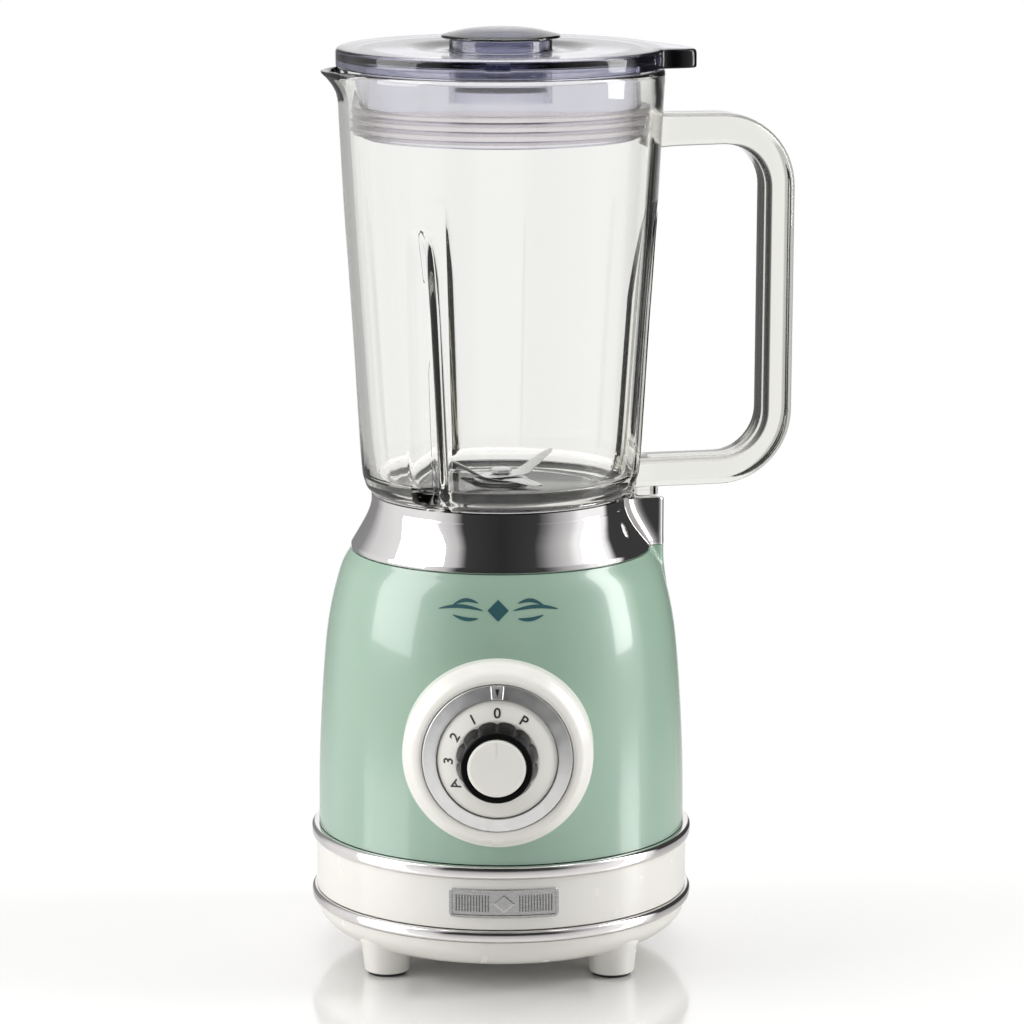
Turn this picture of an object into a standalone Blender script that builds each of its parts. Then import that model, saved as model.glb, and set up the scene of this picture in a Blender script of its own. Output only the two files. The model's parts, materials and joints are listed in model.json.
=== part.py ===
# Countertop blender: a motor base with a speed dial, a glass jug with its blade unit, and a lid with a measuring cap.
# The origin is on the table, below the middle of the whole object. The dial faces -Y and the handle points to +X.
# Sizes are written in millimetres, and MM turns them into the metres of the scene.

import math

import bmesh
import bpy
from mathutils import Vector

MM = 0.001
GAP = 0.3                      # clearance between pieces that touch

# The base and the jug are turned about the motor's axis, which stands beside the middle of the whole object.
AXIS_X = -22.2
AXIS_Y = 11.3
HANDLE_TURN = 14.0             # degrees that the handle is turned from +X towards +Y

# Base, from the table up.
PAD_HEIGHT = 1.4
PAD_RADIUS = 8.6
FOOT_PLACE = (49.0, 46.0)
FOOT_RADIUS_LOW = 9.4
FOOT_RADIUS_TOP = 10.6
BOWL_BOTTOM = 9.2
BOWL_TOP = 23.7
BAND_RADIUS = 82.0
TRIM_RADIUS = 84.0
LOWER_TRIM = (24.0, 29.0)
UPPER_TRIM = (52.0, 57.5)
WALL = 2.6
SHELL_BOTTOM = 57.8
SHELL_TOP = 181.0
SHELL_CURVE = [(80.8, SHELL_BOTTOM), (80.1, 96.0), (76.8, 143.0), (71.2, 170.0), (65.9, SHELL_TOP)]
COLLAR_BOTTOM = SHELL_TOP + GAP
COLLAR_TOP = 205.9
COLLAR_INNER = 54.8
BLOCK_HALF_WIDTH = 14.0
BLOCK_RADIUS = 70.7
BLOCK_TOP = 202.0
PIN_REACH = 65.0               # of the interlock pin from the jug's axis
BADGE_SIZE = (47.0, 12.6)
BADGE_TURN = 1.9               # degrees round from the front
BADGE_HEIGHT = 41.2            # of its middle above the table
GLAND_HEIGHT = 72.0            # of the cord's inlet above the table

# Motor.
SHAFT_RADIUS = 4.0
PLATE = (58.0, 61.5)
POST_PLACE = 36.0              # of the four screw posts, along X and along Y
FAN = (40.0, 51.0)
FAN_BLADES = 7
VENTS = 6                      # slots in the housing's floor, under the fan
CORE = (92.0, 134.0)
ARMATURE_RADIUS = 21.0
BOLT_X = 42.0
COUPLING = (185.5, 199.0)

# Speed dial, measured out from the motor's axis.
DIAL_HEIGHT = 106.5
BEZEL_RADIUS = 40.7
BEZEL_EDGE = 82.0
BEZEL_FACE = 89.0
RING_RADIUS = 32.0
DISC_RADIUS = 25.6
KNOB_BACK = 94.3
KNOB_FRONT = 106.3
KNOB_RADIUS = 17.5
FLUTES = 12

# Jug, in a frame turned to the handle.
JUG_BOTTOM = 205.0
JUG_FLOOR = 208.0
JUG_RIM = 391.2
JUG_HOLE = 9.6
JUG_COLUMNS = 40
RIB_DEPTH = 7.0
RIB_PLACES = (99, 225, 342)     # degrees round from the handle
SPOUT_REACH = 9.0
HANDLE_RADIUS = 124.0          # of the bar's centre line
HANDLE_TOP = 362.8             # heights of the two arms' centre lines
HANDLE_LOW = 212.3
HANDLE_BEND = 26.0             # radius of the two bends
HANDLE_TAPER = 0.5             # how much nearer the bar's lower end is to the jug
HANDLE_HALF_WIDTH = 9.5
BLADE_TURN = 18.0              # degrees from the handle to the upper blade

# Lid and measuring cap.
LID_BOTTOM = 391.8
LID_TOP = 400.0
LID_RADIUS = 71.3
SKIRT_BOTTOM = 362.0
CHIMNEY = (20.3, 22.2)

BIG = 32                       # sides of the large round pieces
MIDDLE = 20
SMALL = 12


def clear_scene():
    for item in list(bpy.data.objects):
        bpy.data.objects.remove(item, do_unlink=True)


def make_material(name, colour, roughness, metallic=0.0, alpha=1.0):
    material = bpy.data.materials.new(name)
    material.use_nodes = True
    shader = material.node_tree.nodes["Principled BSDF"]
    shader.inputs["Base Color"].default_value = (*colour, 1.0)
    shader.inputs["Roughness"].default_value = roughness
    shader.inputs["Metallic"].default_value = metallic
    shader.inputs["Alpha"].default_value = alpha
    return material


def make_materials():
    return {
        "green": make_material("mint_green", (0.36, 0.53, 0.42), 0.22),
        "cream": make_material("cream_plastic", (0.80, 0.79, 0.74), 0.28),
        "chrome": make_material("chrome", (0.78, 0.78, 0.80), 0.06, 1.0),
        "glass": make_material("jug_glass", (0.80, 0.83, 0.80), 0.03, alpha=0.3),
        "smoky": make_material("smoky_plastic", (0.10, 0.12, 0.20), 0.12, alpha=0.7),
        "silicone": make_material("silicone", (0.72, 0.66, 0.66), 0.45, alpha=0.8),
        "steel": make_material("steel", (0.62, 0.62, 0.62), 0.25, 1.0),
        "black": make_material("black_plastic", (0.02, 0.02, 0.02), 0.4),
        "rubber": make_material("black_rubber", (0.03, 0.03, 0.03), 0.8),
        "copper": make_material("copper_wire", (0.55, 0.22, 0.10), 0.35, 1.0),
        "iron": make_material("laminated_iron", (0.22, 0.22, 0.23), 0.5, 1.0),
        "carbon": make_material("carbon", (0.05, 0.05, 0.05), 0.7),
        "badge": make_material("badge_metal", (0.42, 0.42, 0.42), 0.35, 1.0),
    }


def make_empty(name, parent=None, location=(0, 0, 0), rotation=(0, 0, 0)):
    empty = bpy.data.objects.new(name, None)
    empty.location = Vector(location) * MM
    empty.rotation_euler = [math.radians(angle) for angle in rotation]
    empty.parent = parent
    bpy.context.scene.collection.objects.link(empty)
    return empty


def make_object(name, bm, material, parent):
    """Closes a bmesh into an object whose faces point out."""
    bmesh.ops.remove_doubles(bm, verts=bm.verts, dist=0.001)
    bmesh.ops.recalc_face_normals(bm, faces=bm.faces)
    bmesh.ops.scale(bm, vec=(MM, MM, MM), verts=bm.verts)
    mesh = bpy.data.meshes.new(name)
    bm.to_mesh(mesh)
    bm.free()
    mesh.shade_smooth()
    mesh.set_sharp_from_angle(angle=math.radians(35))
    item = bpy.data.objects.new(name, mesh)
    item.parent = parent
    bpy.context.scene.collection.objects.link(item)
    if material:
        mesh.materials.append(material)
    else:
        item.hide_render = True
        item.display_type = "WIRE"
    return item


def turned(name, profile, material, parent, sides=BIG, place=(0, 0, 0)):
    """Spins an outline of (radius, height) points about Z. It is closed unless both of its ends are on the axis."""
    bm = bmesh.new()
    verts = [bm.verts.new((radius, 0.0, height)) for radius, height in profile]
    edges = [bm.edges.new(pair) for pair in zip(verts, verts[1:])]
    if profile[0][0] > 0 or profile[-1][0] > 0:
        edges.append(bm.edges.new((verts[-1], verts[0])))
    bmesh.ops.spin(bm, geom=verts + edges, cent=(0, 0, 0), axis=(0, 0, 1), angle=math.tau, steps=sides)
    bmesh.ops.remove_doubles(bm, verts=bm.verts, dist=0.001)
    bmesh.ops.translate(bm, vec=place, verts=bm.verts)
    return make_object(name, bm, material, parent)


def cylinder(name, radius, low, high, material, parent, sides=SMALL, place=(0, 0)):
    outline = [(0, low), (radius, low), (radius, high), (0, high)]
    return turned(name, outline, material, parent, sides, (*place, 0))


def tube(name, inner, outer, low, high, material, parent, sides=MIDDLE, place=(0, 0)):
    outline = [(inner, low), (outer, low), (outer, high), (inner, high)]
    return turned(name, outline, material, parent, sides, (*place, 0))


def prism(name, outline, low, high, material, parent):
    """Extrudes an outline of (x, y) points from one height to another."""
    bm = bmesh.new()
    face = bm.faces.new([bm.verts.new((x, y, low)) for x, y in outline])
    top = bmesh.ops.extrude_face_region(bm, geom=[face])["geom"]
    bmesh.ops.translate(bm, vec=(0, 0, high - low), verts=[v for v in top if isinstance(v, bmesh.types.BMVert)])
    return make_object(name, bm, material, parent)


def box(name, x, y, z, material, parent):
    outline = [(x[0], y[0]), (x[1], y[0]), (x[1], y[1]), (x[0], y[1])]
    return prism(name, outline, z[0], z[1], material, parent)


def lofted(name, rings, material, parent, hollow=False):
    """Joins rings of equally many points. The two ends are capped, or joined to each other when it is hollow."""
    bm = bmesh.new()
    rows = [[bm.verts.new(point) for point in ring] for ring in rings]
    pairs = list(zip(rows, rows[1:]))
    if hollow:
        pairs.append((rows[-1], rows[0]))
    else:
        bm.faces.new(rows[0])
        bm.faces.new(rows[-1])
    for low, high in pairs:
        for k in range(len(low)):
            after = (k + 1) % len(low)
            bm.faces.new((low[k], low[after], high[after], high[k]))
    return make_object(name, bm, material, parent)


def add_boolean(target, other, operation):
    """Cuts the target by a hidden shape, or joins the hidden shape to it."""
    modifier = target.modifiers.new(other.name, "BOOLEAN")
    modifier.operation = operation
    modifier.solver = "EXACT"
    modifier.object = other


def curve_through(points, steps):
    """Points on a smooth curve through the given ones, with a number of steps between each two of them."""
    ends = [points[0], *points, points[-1]]
    curve = []
    for a, b, c, d in zip(ends, ends[1:], ends[2:], ends[3:]):
        for step in range(steps):
            t = step / steps
            weights = (-t + 2 * t**2 - t**3, 2 - 5 * t**2 + 3 * t**3, t + 4 * t**2 - 3 * t**3, -t**2 + t**3)
            curve.append(tuple(sum(w * p[k] for w, p in zip(weights, (a, b, c, d))) / 2 for k in range(2)))
    return curve + [points[-1]]


def star(radius_high, radius_low, lobes=6):
    """Outline of a coupling with rounded lobes."""
    outline = []
    for k in range(4 * lobes):
        radius = radius_high if k % 4 in (0, 1) else radius_low
        angle = math.tau * k / (4 * lobes)
        outline.append((radius * math.cos(angle), radius * math.sin(angle)))
    return outline


def make_bottom_housing(looks, base):
    outer = [(0, BOWL_BOTTOM), (60, BOWL_BOTTOM), (68, 10.2), (76, 13.6), (80.6, 18.6), (BAND_RADIUS, BOWL_TOP)]
    inner = [(BAND_RADIUS - WALL, BOWL_TOP), (73.6, 16.6), (58, 12.6), (0, 12.6)]
    housing = turned("bottom_housing", outer + inner, looks["cream"], base)
    for k, (x, y) in enumerate(corner_places(*FOOT_PLACE)):
        leg = [(0, PAD_HEIGHT + GAP), (FOOT_RADIUS_LOW, PAD_HEIGHT + GAP), (FOOT_RADIUS_TOP, 17), (0, 17)]
        add_boolean(housing, turned(f"leg_shape_{k}", leg, None, base, SMALL, (x, y, 0)), "UNION")
    for k, place in enumerate(corner_places(POST_PLACE, POST_PLACE)):
        post = cylinder(f"post_shape_{k}", 5.4, 11.3, PLATE[0] - GAP, None, base, 8, place)
        add_boolean(housing, post, "UNION")
        outline = [(0, 8), (4.2, 8), (4.2, 14.5), (2.1, 14.5), (2.1, PLATE[0] + 1), (0, PLATE[0] + 1)]
        add_boolean(housing, turned(f"post_bore_{k}", outline, None, base, 8, (*place, 0)), "DIFFERENCE")
    for k in range(VENTS):
        turn = make_empty(f"vent_turn_{k}", base, rotation=(0, 0, 360 / VENTS * k))
        vent = box(f"vent_shape_{k}", (24, 42), (-2.2, 2.2), (8, 14), None, turn)
        add_boolean(housing, vent, "DIFFERENCE")


def corner_places(x, y):
    return [(-x, -y), (x, -y), (-x, y), (x, y)]


def make_foot_pads(looks, base):
    names = ("front_left", "front_right", "rear_left", "rear_right")
    for name, place in zip(names, corner_places(*FOOT_PLACE)):
        cylinder(f"foot_pad_{name}", PAD_RADIUS, 0, PAD_HEIGHT, looks["rubber"], base, 16, place)


def make_trim_ring(name, span, inner, looks, base):
    low, high = span
    outline = [(inner, low), (TRIM_RADIUS - 1.6, low), (TRIM_RADIUS, low + 1.5), (TRIM_RADIUS, high - 1.5),
               (TRIM_RADIUS - 1.6, high), (inner, high)]
    turned(name, outline, looks["chrome"], base)


def make_base_band(looks, base):
    tube("base_band", BAND_RADIUS - WALL, BAND_RADIUS, LOWER_TRIM[1] + GAP, UPPER_TRIM[0] - GAP,
         looks["cream"], base, BIG)


def make_badge_plate(looks, base):
    """A plate that follows the band's curve, with its corners cut off."""
    steps = 8
    rings = []
    for step in range(steps + 1):
        share = 2 * step / steps - 1
        angle = math.radians(BADGE_TURN - 90) + share * BADGE_SIZE[0] / 2 / BAND_RADIUS
        half = BADGE_SIZE[1] / 2 - (2.0 if abs(share) == 1 else 0.0)
        ring = []
        for radius, height in ((0.4, -half), (1.4, -half), (1.4, half), (0.4, half)):
            reach = BAND_RADIUS + radius
            ring.append((reach * math.cos(angle), reach * math.sin(angle), BADGE_HEIGHT + height))
        rings.append(ring)
    lofted("badge_plate", rings, looks["badge"], base)


def make_body_shell(looks, base, jug_frame):
    outer = curve_through(SHELL_CURVE, 2)
    inner = [(radius - WALL, height) for radius, height in SHELL_CURVE[:4]] + [(64, SHELL_TOP - 3)]
    outline = outer + [(50, SHELL_TOP), (50, SHELL_TOP - 3)] + inner[::-1]
    shell = turned("body_shell", outline, looks["green"], base)
    rib = box("rib_shape", (60, BLOCK_RADIUS), (-BLOCK_HALF_WIDTH, BLOCK_HALF_WIDTH), (166, SHELL_TOP - 0.1),
              None, jug_frame)
    add_boolean(shell, rib, "UNION")
    front = make_empty("dial_hole_turn", base, (0, 0, DIAL_HEIGHT), (90, 0, 0))
    add_boolean(shell, cylinder("dial_hole_shape", 15, 60, 90, None, front, 16), "DIFFERENCE")
    rear = make_empty("gland_hole_turn", base, (0, 0, GLAND_HEIGHT), (-90, 0, 0))
    add_boolean(shell, cylinder("gland_hole_shape", 6.3, 60, 90, None, rear, 16), "DIFFERENCE")


def make_chrome_collar(looks, base, jug_frame):
    """The flared neck under the jug, with the block that holds the jug's interlock."""
    outer = [(65.8, COLLAR_BOTTOM), (65.8, 183.5), (61.8, 190.2), (58.3, 197), (56.9, 203), (56.9, COLLAR_TOP)]
    inner = [(COLLAR_INNER, COLLAR_TOP), (COLLAR_INNER, 201), (58.8, 190.2), (62.8, 184), (62.8, COLLAR_BOTTOM)]
    collar = turned("chrome_collar", outer + inner, looks["chrome"], base)
    half, reach = BLOCK_HALF_WIDTH, BLOCK_RADIUS
    outline = [(reach - 3, -half), (reach - 0.9, -half + 0.9), (reach, -half + 3)]
    outline += [(x, -y) for x, y in reversed(outline)]
    outline += [(55.8 * math.cos(angle), 55.8 * math.sin(angle)) for angle in (0.254, 0.127, 0, -0.127, -0.254)]
    block = prism("block_shape", outline, COLLAR_BOTTOM + 0.1, BLOCK_TOP, None, jug_frame)
    add_boolean(collar, block, "UNION")
    hollow = box("block_hollow", (60.5, reach - 2), (-half + 2, half - 2), (COLLAR_BOTTOM - 2, 199.5), None, jug_frame)
    add_boolean(collar, hollow, "DIFFERENCE")
    bore = cylinder("pin_bore", 2.4, 198, BLOCK_TOP + 1, None, jug_frame, 8, (PIN_REACH, 0))
    add_boolean(collar, bore, "DIFFERENCE")


def make_jug_seat(looks, base):
    """The cup in the collar that the jug stands on, closed below around the motor's shaft."""
    low = SHELL_TOP + GAP
    outline = [(8.5, low), (53, low), (53, low + 2), (46.5, low + 2), (46.5, 201.7), (54.4, 201.7),
               (54.4, JUG_BOTTOM - GAP), (44, JUG_BOTTOM - GAP), (44, low + 3), (8.5, low + 3)]
    turned("jug_seat", outline, looks["black"], base, MIDDLE)
    tube("shaft_seal", SHAFT_RADIUS + GAP, 8.2, 179.5, COUPLING[0] - 0.4, looks["rubber"], base, SMALL)


def make_interlock(looks, jug_frame):
    """The switch that lets the motor run only under a seated jug, and the pin that the jug's boss holds down."""
    box("interlock_switch", (61.5, 68), (-8, 8), (184, 193), looks["black"], jug_frame)
    frame = make_empty("pin_slide", jug_frame, (PIN_REACH, 0, 0))
    cylinder("interlock_pin", 2.0, 193.5, BLOCK_TOP, looks["black"], frame, 8)


def make_motor_plate(looks, base):
    plate = tube("motor_plate", 32, 74, *PLATE, looks["black"], base, BIG)
    places = corner_places(POST_PLACE, POST_PLACE) + [(-BOLT_X, 0), (BOLT_X, 0)]
    for k, place in enumerate(places):
        hole = cylinder(f"plate_hole_{k}", 2.3, PLATE[0] - 2, PLATE[1] + 2, None, base, 8, place)
        add_boolean(plate, hole, "DIFFERENCE")


def make_base_screws(looks, base):
    """Four screws that hold the bottom housing and the motor plate together through the housing's posts."""
    head = [(0, 11), (3.8, 11), (3.8, 14.2), (1.8, 14.2), (1.8, PLATE[1] - 1), (0, PLATE[1] - 1)]
    for k, place in enumerate(corner_places(POST_PLACE, POST_PLACE)):
        turned(f"base_screw_{k + 1}", head, looks["steel"], base, 8, (*place, 0))


def make_bearing_bridge(name, looks, base, bar, boss_top, shaft_hole, bearing_hole):
    """A flat bar across the motor's end with a round boss that holds a bearing."""
    bridge = box(name, (-BOLT_X - 6, BOLT_X + 6), (-9, 9), bar, looks["steel"], base)
    boss = cylinder(f"{name}_boss", 12.5, bar[0] + 0.5, boss_top, None, base, 16)
    add_boolean(bridge, boss, "UNION")
    add_boolean(bridge, cylinder(f"{name}_bore", 5, *shaft_hole, None, base), "DIFFERENCE")
    add_boolean(bridge, cylinder(f"{name}_seat", 9.4, *bearing_hole, None, base, 16), "DIFFERENCE")
    for side in (-1, 1):
        hole = cylinder(f"{name}_hole_{side}", 2.3, bar[0] - 2, bar[1] + 2, None, base, 8, (side * BOLT_X, 0))
        add_boolean(bridge, hole, "DIFFERENCE")


def make_stator(looks, base):
    """The laminated core with its two field coils, clamped between two bridges that hold the bearings."""
    core = box("stator_core", (-38, 38), (-33, 33), CORE, looks["iron"], base)
    add_boolean(core, cylinder("core_bore", ARMATURE_RADIUS + 0.8, 80, 150, None, base, MIDDLE), "DIFFERENCE")
    for side, label in ((-1, "left"), (1, "right")):
        for edge in (-1, 1):
            slot = box(f"slot_shape_{label}_{edge}", sorted((side * 23, side * 32)),
                       sorted((edge * 20.4, edge * 29.4)), (80, 150), None, base)
            add_boolean(core, slot, "DIFFERENCE")
        coil = box(f"field_coil_{label}", sorted((side * 23.4, side * 31.6)), (-29, 29), (84.5, 141.5),
                   looks["copper"], base)
        window = box(f"coil_window_{label}", sorted((side * 20, side * 35)), (-20.8, 20.8),
                     (CORE[0] - GAP, CORE[1] + GAP), None, base)
        add_boolean(coil, window, "DIFFERENCE")
    make_bearing_bridge("lower_bearing_bridge", looks, base, (65.5, 69.5), 73.5, (60, 80), (67.5, 80))
    make_bearing_bridge("upper_bearing_bridge", looks, base, (145, 149), 157, (140, 160), (140, 155))
    tube("lower_bearing", SHAFT_RADIUS + GAP, 9.1, 67.8, 73.2, looks["steel"], base, SMALL)
    tube("upper_bearing", SHAFT_RADIUS + GAP, 9.1, 148, 154.5, looks["steel"], base, SMALL)
    for side, label in ((-1, "left"), (1, "right")):
        bolt = [(0, 55), (2, 55), (2, 149.3), (3.8, 149.3), (3.8, 152.3), (0, 152.3)]
        turned(f"motor_bolt_{label}", bolt, looks["steel"], base, 8, (side * BOLT_X, 0, 0))
        tube(f"motor_grommet_{label}", 2.3, 6.5, PLATE[1] + GAP, 65.2, looks["rubber"], base, SMALL,
             (side * BOLT_X, 0))


def make_brushes(looks, base):
    for side, label in ((-1, "left"), (1, "right")):
        holder = box(f"brush_holder_{label}", sorted((side * 15, side * 31)), (-5.5, 5.5), (74.2, 83.8),
                     looks["black"], base)
        channel = box(f"brush_channel_{label}", sorted((side * 13, side * 33)), (-3.4, 3.4), (75.8, 82.2), None, base)
        add_boolean(holder, channel, "DIFFERENCE")
        box(f"carbon_brush_{label}", sorted((side * 11.4, side * 24)), (-3, 3), (76.2, 81.8), looks["carbon"], base)


def make_rotor(looks, base):
    """The shaft with all that turns on it: fan, commutator, armature and the coupling under the jug."""
    frame = make_empty("motor_spin_axis", base, rotation=(0, 0, HANDLE_TURN))
    cylinder("motor_shaft", SHAFT_RADIUS, 36, 190, looks["steel"], frame)
    bore = SHAFT_RADIUS + GAP
    tube("commutator", bore, 11, 74.5, 84.2, looks["copper"], frame, SMALL)
    winding = [(bore, 84.6), (15, 84.6), (18, 88), (18, 91.8)]
    upper = [(18, 134.2), (18, 138), (15, 141), (bore, 141)]
    outline = winding + [(ARMATURE_RADIUS, CORE[0]), (ARMATURE_RADIUS, CORE[1])] + upper
    turned("armature", outline, looks["iron"], frame, MIDDLE)
    fan = tube("cooling_fan", bore, 36, FAN[0], FAN[0] + 2, looks["black"], frame, MIDDLE)
    add_boolean(fan, tube("fan_hub", bore, 9, FAN[0] + 1.5, FAN[1], None, frame, SMALL), "UNION")
    for k in range(FAN_BLADES):
        turn = make_empty(f"fan_turn_{k}", frame, rotation=(0, 0, 360 / FAN_BLADES * k))
        blade = box(f"fan_blade_{k}", (7, 34), (-0.9, 0.9), (FAN[0] + 1, FAN[1] - 1), None, turn)
        add_boolean(fan, blade, "UNION")
    coupling = cylinder("drive_coupling", 19, *COUPLING, looks["black"], frame, MIDDLE)
    add_boolean(coupling, cylinder("coupling_bore", bore, 180, 190.6, None, frame), "DIFFERENCE")
    add_boolean(coupling, prism("socket_shape", star(13.6, 10.8), 192, 202, None, frame), "DIFFERENCE")


def make_speed_dial(looks, base, shell_space):
    """The fixed bezel and index ring, and the disc, knob, cap and shaft that turn together."""
    front = make_empty("dial_axis", base, (0, 0, DIAL_HEIGHT), (90, 0, 0))
    outline = [(16.3, 60), (BEZEL_RADIUS, 60), (BEZEL_RADIUS, BEZEL_EDGE), (38.6, 85),
               (RING_RADIUS + GAP, BEZEL_FACE), (RING_RADIUS + GAP, 86), (16.3, 86)]
    bezel = turned("dial_bezel", outline, looks["cream"], front)
    add_boolean(bezel, shell_space, "DIFFERENCE")
    ring = [(DISC_RADIUS + GAP, 86.3), (RING_RADIUS, 86.3), (RING_RADIUS, BEZEL_FACE), (DISC_RADIUS + GAP, 91)]
    turned("index_ring", ring, looks["chrome"], front)
    box("speed_switch", (-15, 15), (-74, -56), (92, 121), looks["black"], base)

    turning = make_empty("dial_turn_axis", front)
    disc = [(3.3, 87), (DISC_RADIUS, 87), (DISC_RADIUS, 90), (17.8, 94), (3.3, 94)]
    turned("dial_disc", disc, looks["cream"], turning, BIG)
    cylinder("knob_shaft", 3.0, 75, 101, looks["steel"], turning)
    knob = lofted("knob", knob_rings(), looks["black"], turning)
    add_boolean(knob, cylinder("knob_bore", 3.3, 90, 101.3, None, turning), "DIFFERENCE")
    cap = [(0, 104.9), (12.7, 104.9), (12.7, 106.2), (11.8, 106.8), (0, 106.8)]
    turned("knob_cap", cap, looks["cream"], turning, MIDDLE)


def knob_rings():
    """Three points to each flute: the rings narrow to the front and lose their flutes there."""
    rings = []
    rows = [(KNOB_BACK, KNOB_RADIUS, 1.2), (99, 16.7, 1.1), (104.5, 15.4, 0.6), (KNOB_FRONT, 14.8, 0.0),
            (KNOB_FRONT, 13.0, 0.0), (104.6, 13.0, 0.0)]
    for height, radius, flute in rows:
        ring = []
        for k in range(3 * FLUTES):
            reach = radius - (flute if k % 3 == 0 else 0)
            angle = math.tau * k / (3 * FLUTES)
            ring.append((reach * math.cos(angle), reach * math.sin(angle), height))
        rings.append(ring)
    return rings


def make_cord_gland(looks, base):
    """The inlet for the mains cord, low on the back, with a blind mouth."""
    rear = make_empty("gland_axis", base, (0, 0, GLAND_HEIGHT), (-90, 0, 0))
    outline = [(0, 73), (6, 73), (6, 81.2), (9, 81.2), (8.4, 83.4), (3.6, 83.8), (3.6, 80.5), (0, 80.5)]
    turned("cord_gland", outline, looks["black"], rear, 16)


def jug_ring(radius, height, rib, spout, inside=False):
    """One ring of the glass: three ribs press inwards, and the spout reaches out."""
    ring = []
    for k in range(JUG_COLUMNS):
        angle = math.tau * k / JUG_COLUMNS
        from_rib = min(abs(math.degrees(angle) - place) for place in RIB_PLACES)
        press = 1.0 if from_rib < 1 else (0.35 if inside and from_rib < 10 else 0.0)
        from_spout = abs(math.degrees(angle) - 180)
        pour = math.cos(math.radians(from_spout * 90 / 20)) ** 2 if from_spout < 20 else 0.0
        reach = radius - RIB_DEPTH * rib * press + SPOUT_REACH * spout * pour
        ring.append((reach * math.cos(angle), reach * math.sin(angle), height))
    return ring


def jug_rings():
    outer = [(JUG_HOLE, JUG_BOTTOM, 0, 0), (51, JUG_BOTTOM, 0, 0), (57.2, 207, 0, 0), (59.9, 211, 0.6, 0),
             (61.4, 222, 1, 0), (64.3, 272, 1, 0), (66.9, 312, 0.85, 0), (68, 329, 0, 0), (70.2, 371, 0, 0),
             (70.8, 382, 0, 0.4), (71, JUG_RIM, 0, 1)]
    inner = [(66.6, JUG_RIM, 0, 1), (66.3, 382, 0, 0.4), (65.8, 371, 0, 0), (63.7, 336, 0, 0),
             (62.4, 316, 0.85, 0), (59.5, 272, 1, 0), (56, 222, 1, 0), (53, 213, 0.8, 0), (47, 209, 0.2, 0),
             (40, JUG_FLOOR, 0, 0), (JUG_HOLE, JUG_FLOOR, 0, 0)]
    return [jug_ring(*row) for row in outer] + [jug_ring(*row, inside=True) for row in inner]


def handle_rings():
    """Stations along the handle: along the top arm, round a bend, down the bar, round a bend, along the lower arm."""
    bend = HANDLE_BEND
    stations = [(67.0, HANDLE_TOP, 0, 7.6), (HANDLE_RADIUS - bend, HANDLE_TOP, 0, 7.0)]
    for angle in (22.5, 45, 67.5, 90):
        turn = math.radians(angle)
        x, z = HANDLE_RADIUS - bend * (1 - math.sin(turn)), HANDLE_TOP - bend * (1 - math.cos(turn))
        stations.append((x, z, -angle, 6.6))
    for angle in (90, 112.5, 135, 157.5, 180):
        turn = math.radians(angle)
        x = HANDLE_RADIUS - HANDLE_TAPER - bend * (1 - math.sin(turn))
        stations.append((x, HANDLE_LOW + bend * (1 + math.cos(turn)), -angle, 6.5))
    stations.append((58.3, HANDLE_LOW, -180, 6.5))
    chamfer = 2.6
    rings = []
    for x, z, heading, thick in stations:
        across = Vector((-math.sin(math.radians(heading)), math.cos(math.radians(heading))))
        ring = []
        for side, lift in ((1, -1), (1, 1), (-1, 1), (-1, -1)):
            corners = [(HANDLE_HALF_WIDTH, thick - chamfer), (HANDLE_HALF_WIDTH - chamfer, thick)]
            for width, rise in (corners if side * lift > 0 else reversed(corners)):
                offset = across * lift * rise
                ring.append((x + offset.x, side * width, z + offset.y))
        rings.append(ring)
    return rings


def make_jug(looks, jug_frame):
    jug = lofted("jug", jug_rings(), looks["glass"], jug_frame, hollow=True)
    add_boolean(jug, lofted("handle_shape", handle_rings(), None, jug_frame), "UNION")
    boss = box("boss_shape", (62, 69.5), (-8, 8), (BLOCK_TOP + GAP, 207), None, jug_frame)
    add_boolean(jug, boss, "UNION")
    bush = [(3.4, 200), (9, 200), (9, 209.4), (12, 209.4), (12, 210.2), (3.4, 210.2)]
    turned("blade_bush", bush, looks["steel"], jug_frame, SMALL)
    tube("blade_gasket", 9.3, 12.5, JUG_FLOOR + GAP, 209.1, looks["rubber"], jug_frame, SMALL)
    nut = cylinder("bush_nut", 16, COUPLING[1] + 0.6, JUG_BOTTOM - GAP, looks["black"], jug_frame, 6)
    add_boolean(nut, cylinder("nut_bore", 9.3, 190, 210, None, jug_frame), "DIFFERENCE")


def blade_rings(tip_lift, tip_reach, low, thick=1.0):
    """A flat middle with two wings that taper and are bent to the tip's height."""
    rings = []
    for reach, half_width, share in ((-1, 1.6, 1), (-0.42, 5.2, 0), (-0.2, 7, 0), (0.2, 7, 0), (0.42, 5.2, 0),
                                     (1, 1.6, 1)):
        x, z = reach * tip_reach, low + share * tip_lift
        rings.append([(x, -half_width, z), (x, half_width, z), (x, half_width, z + thick), (x, -half_width, z + thick)])
    return rings


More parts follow.
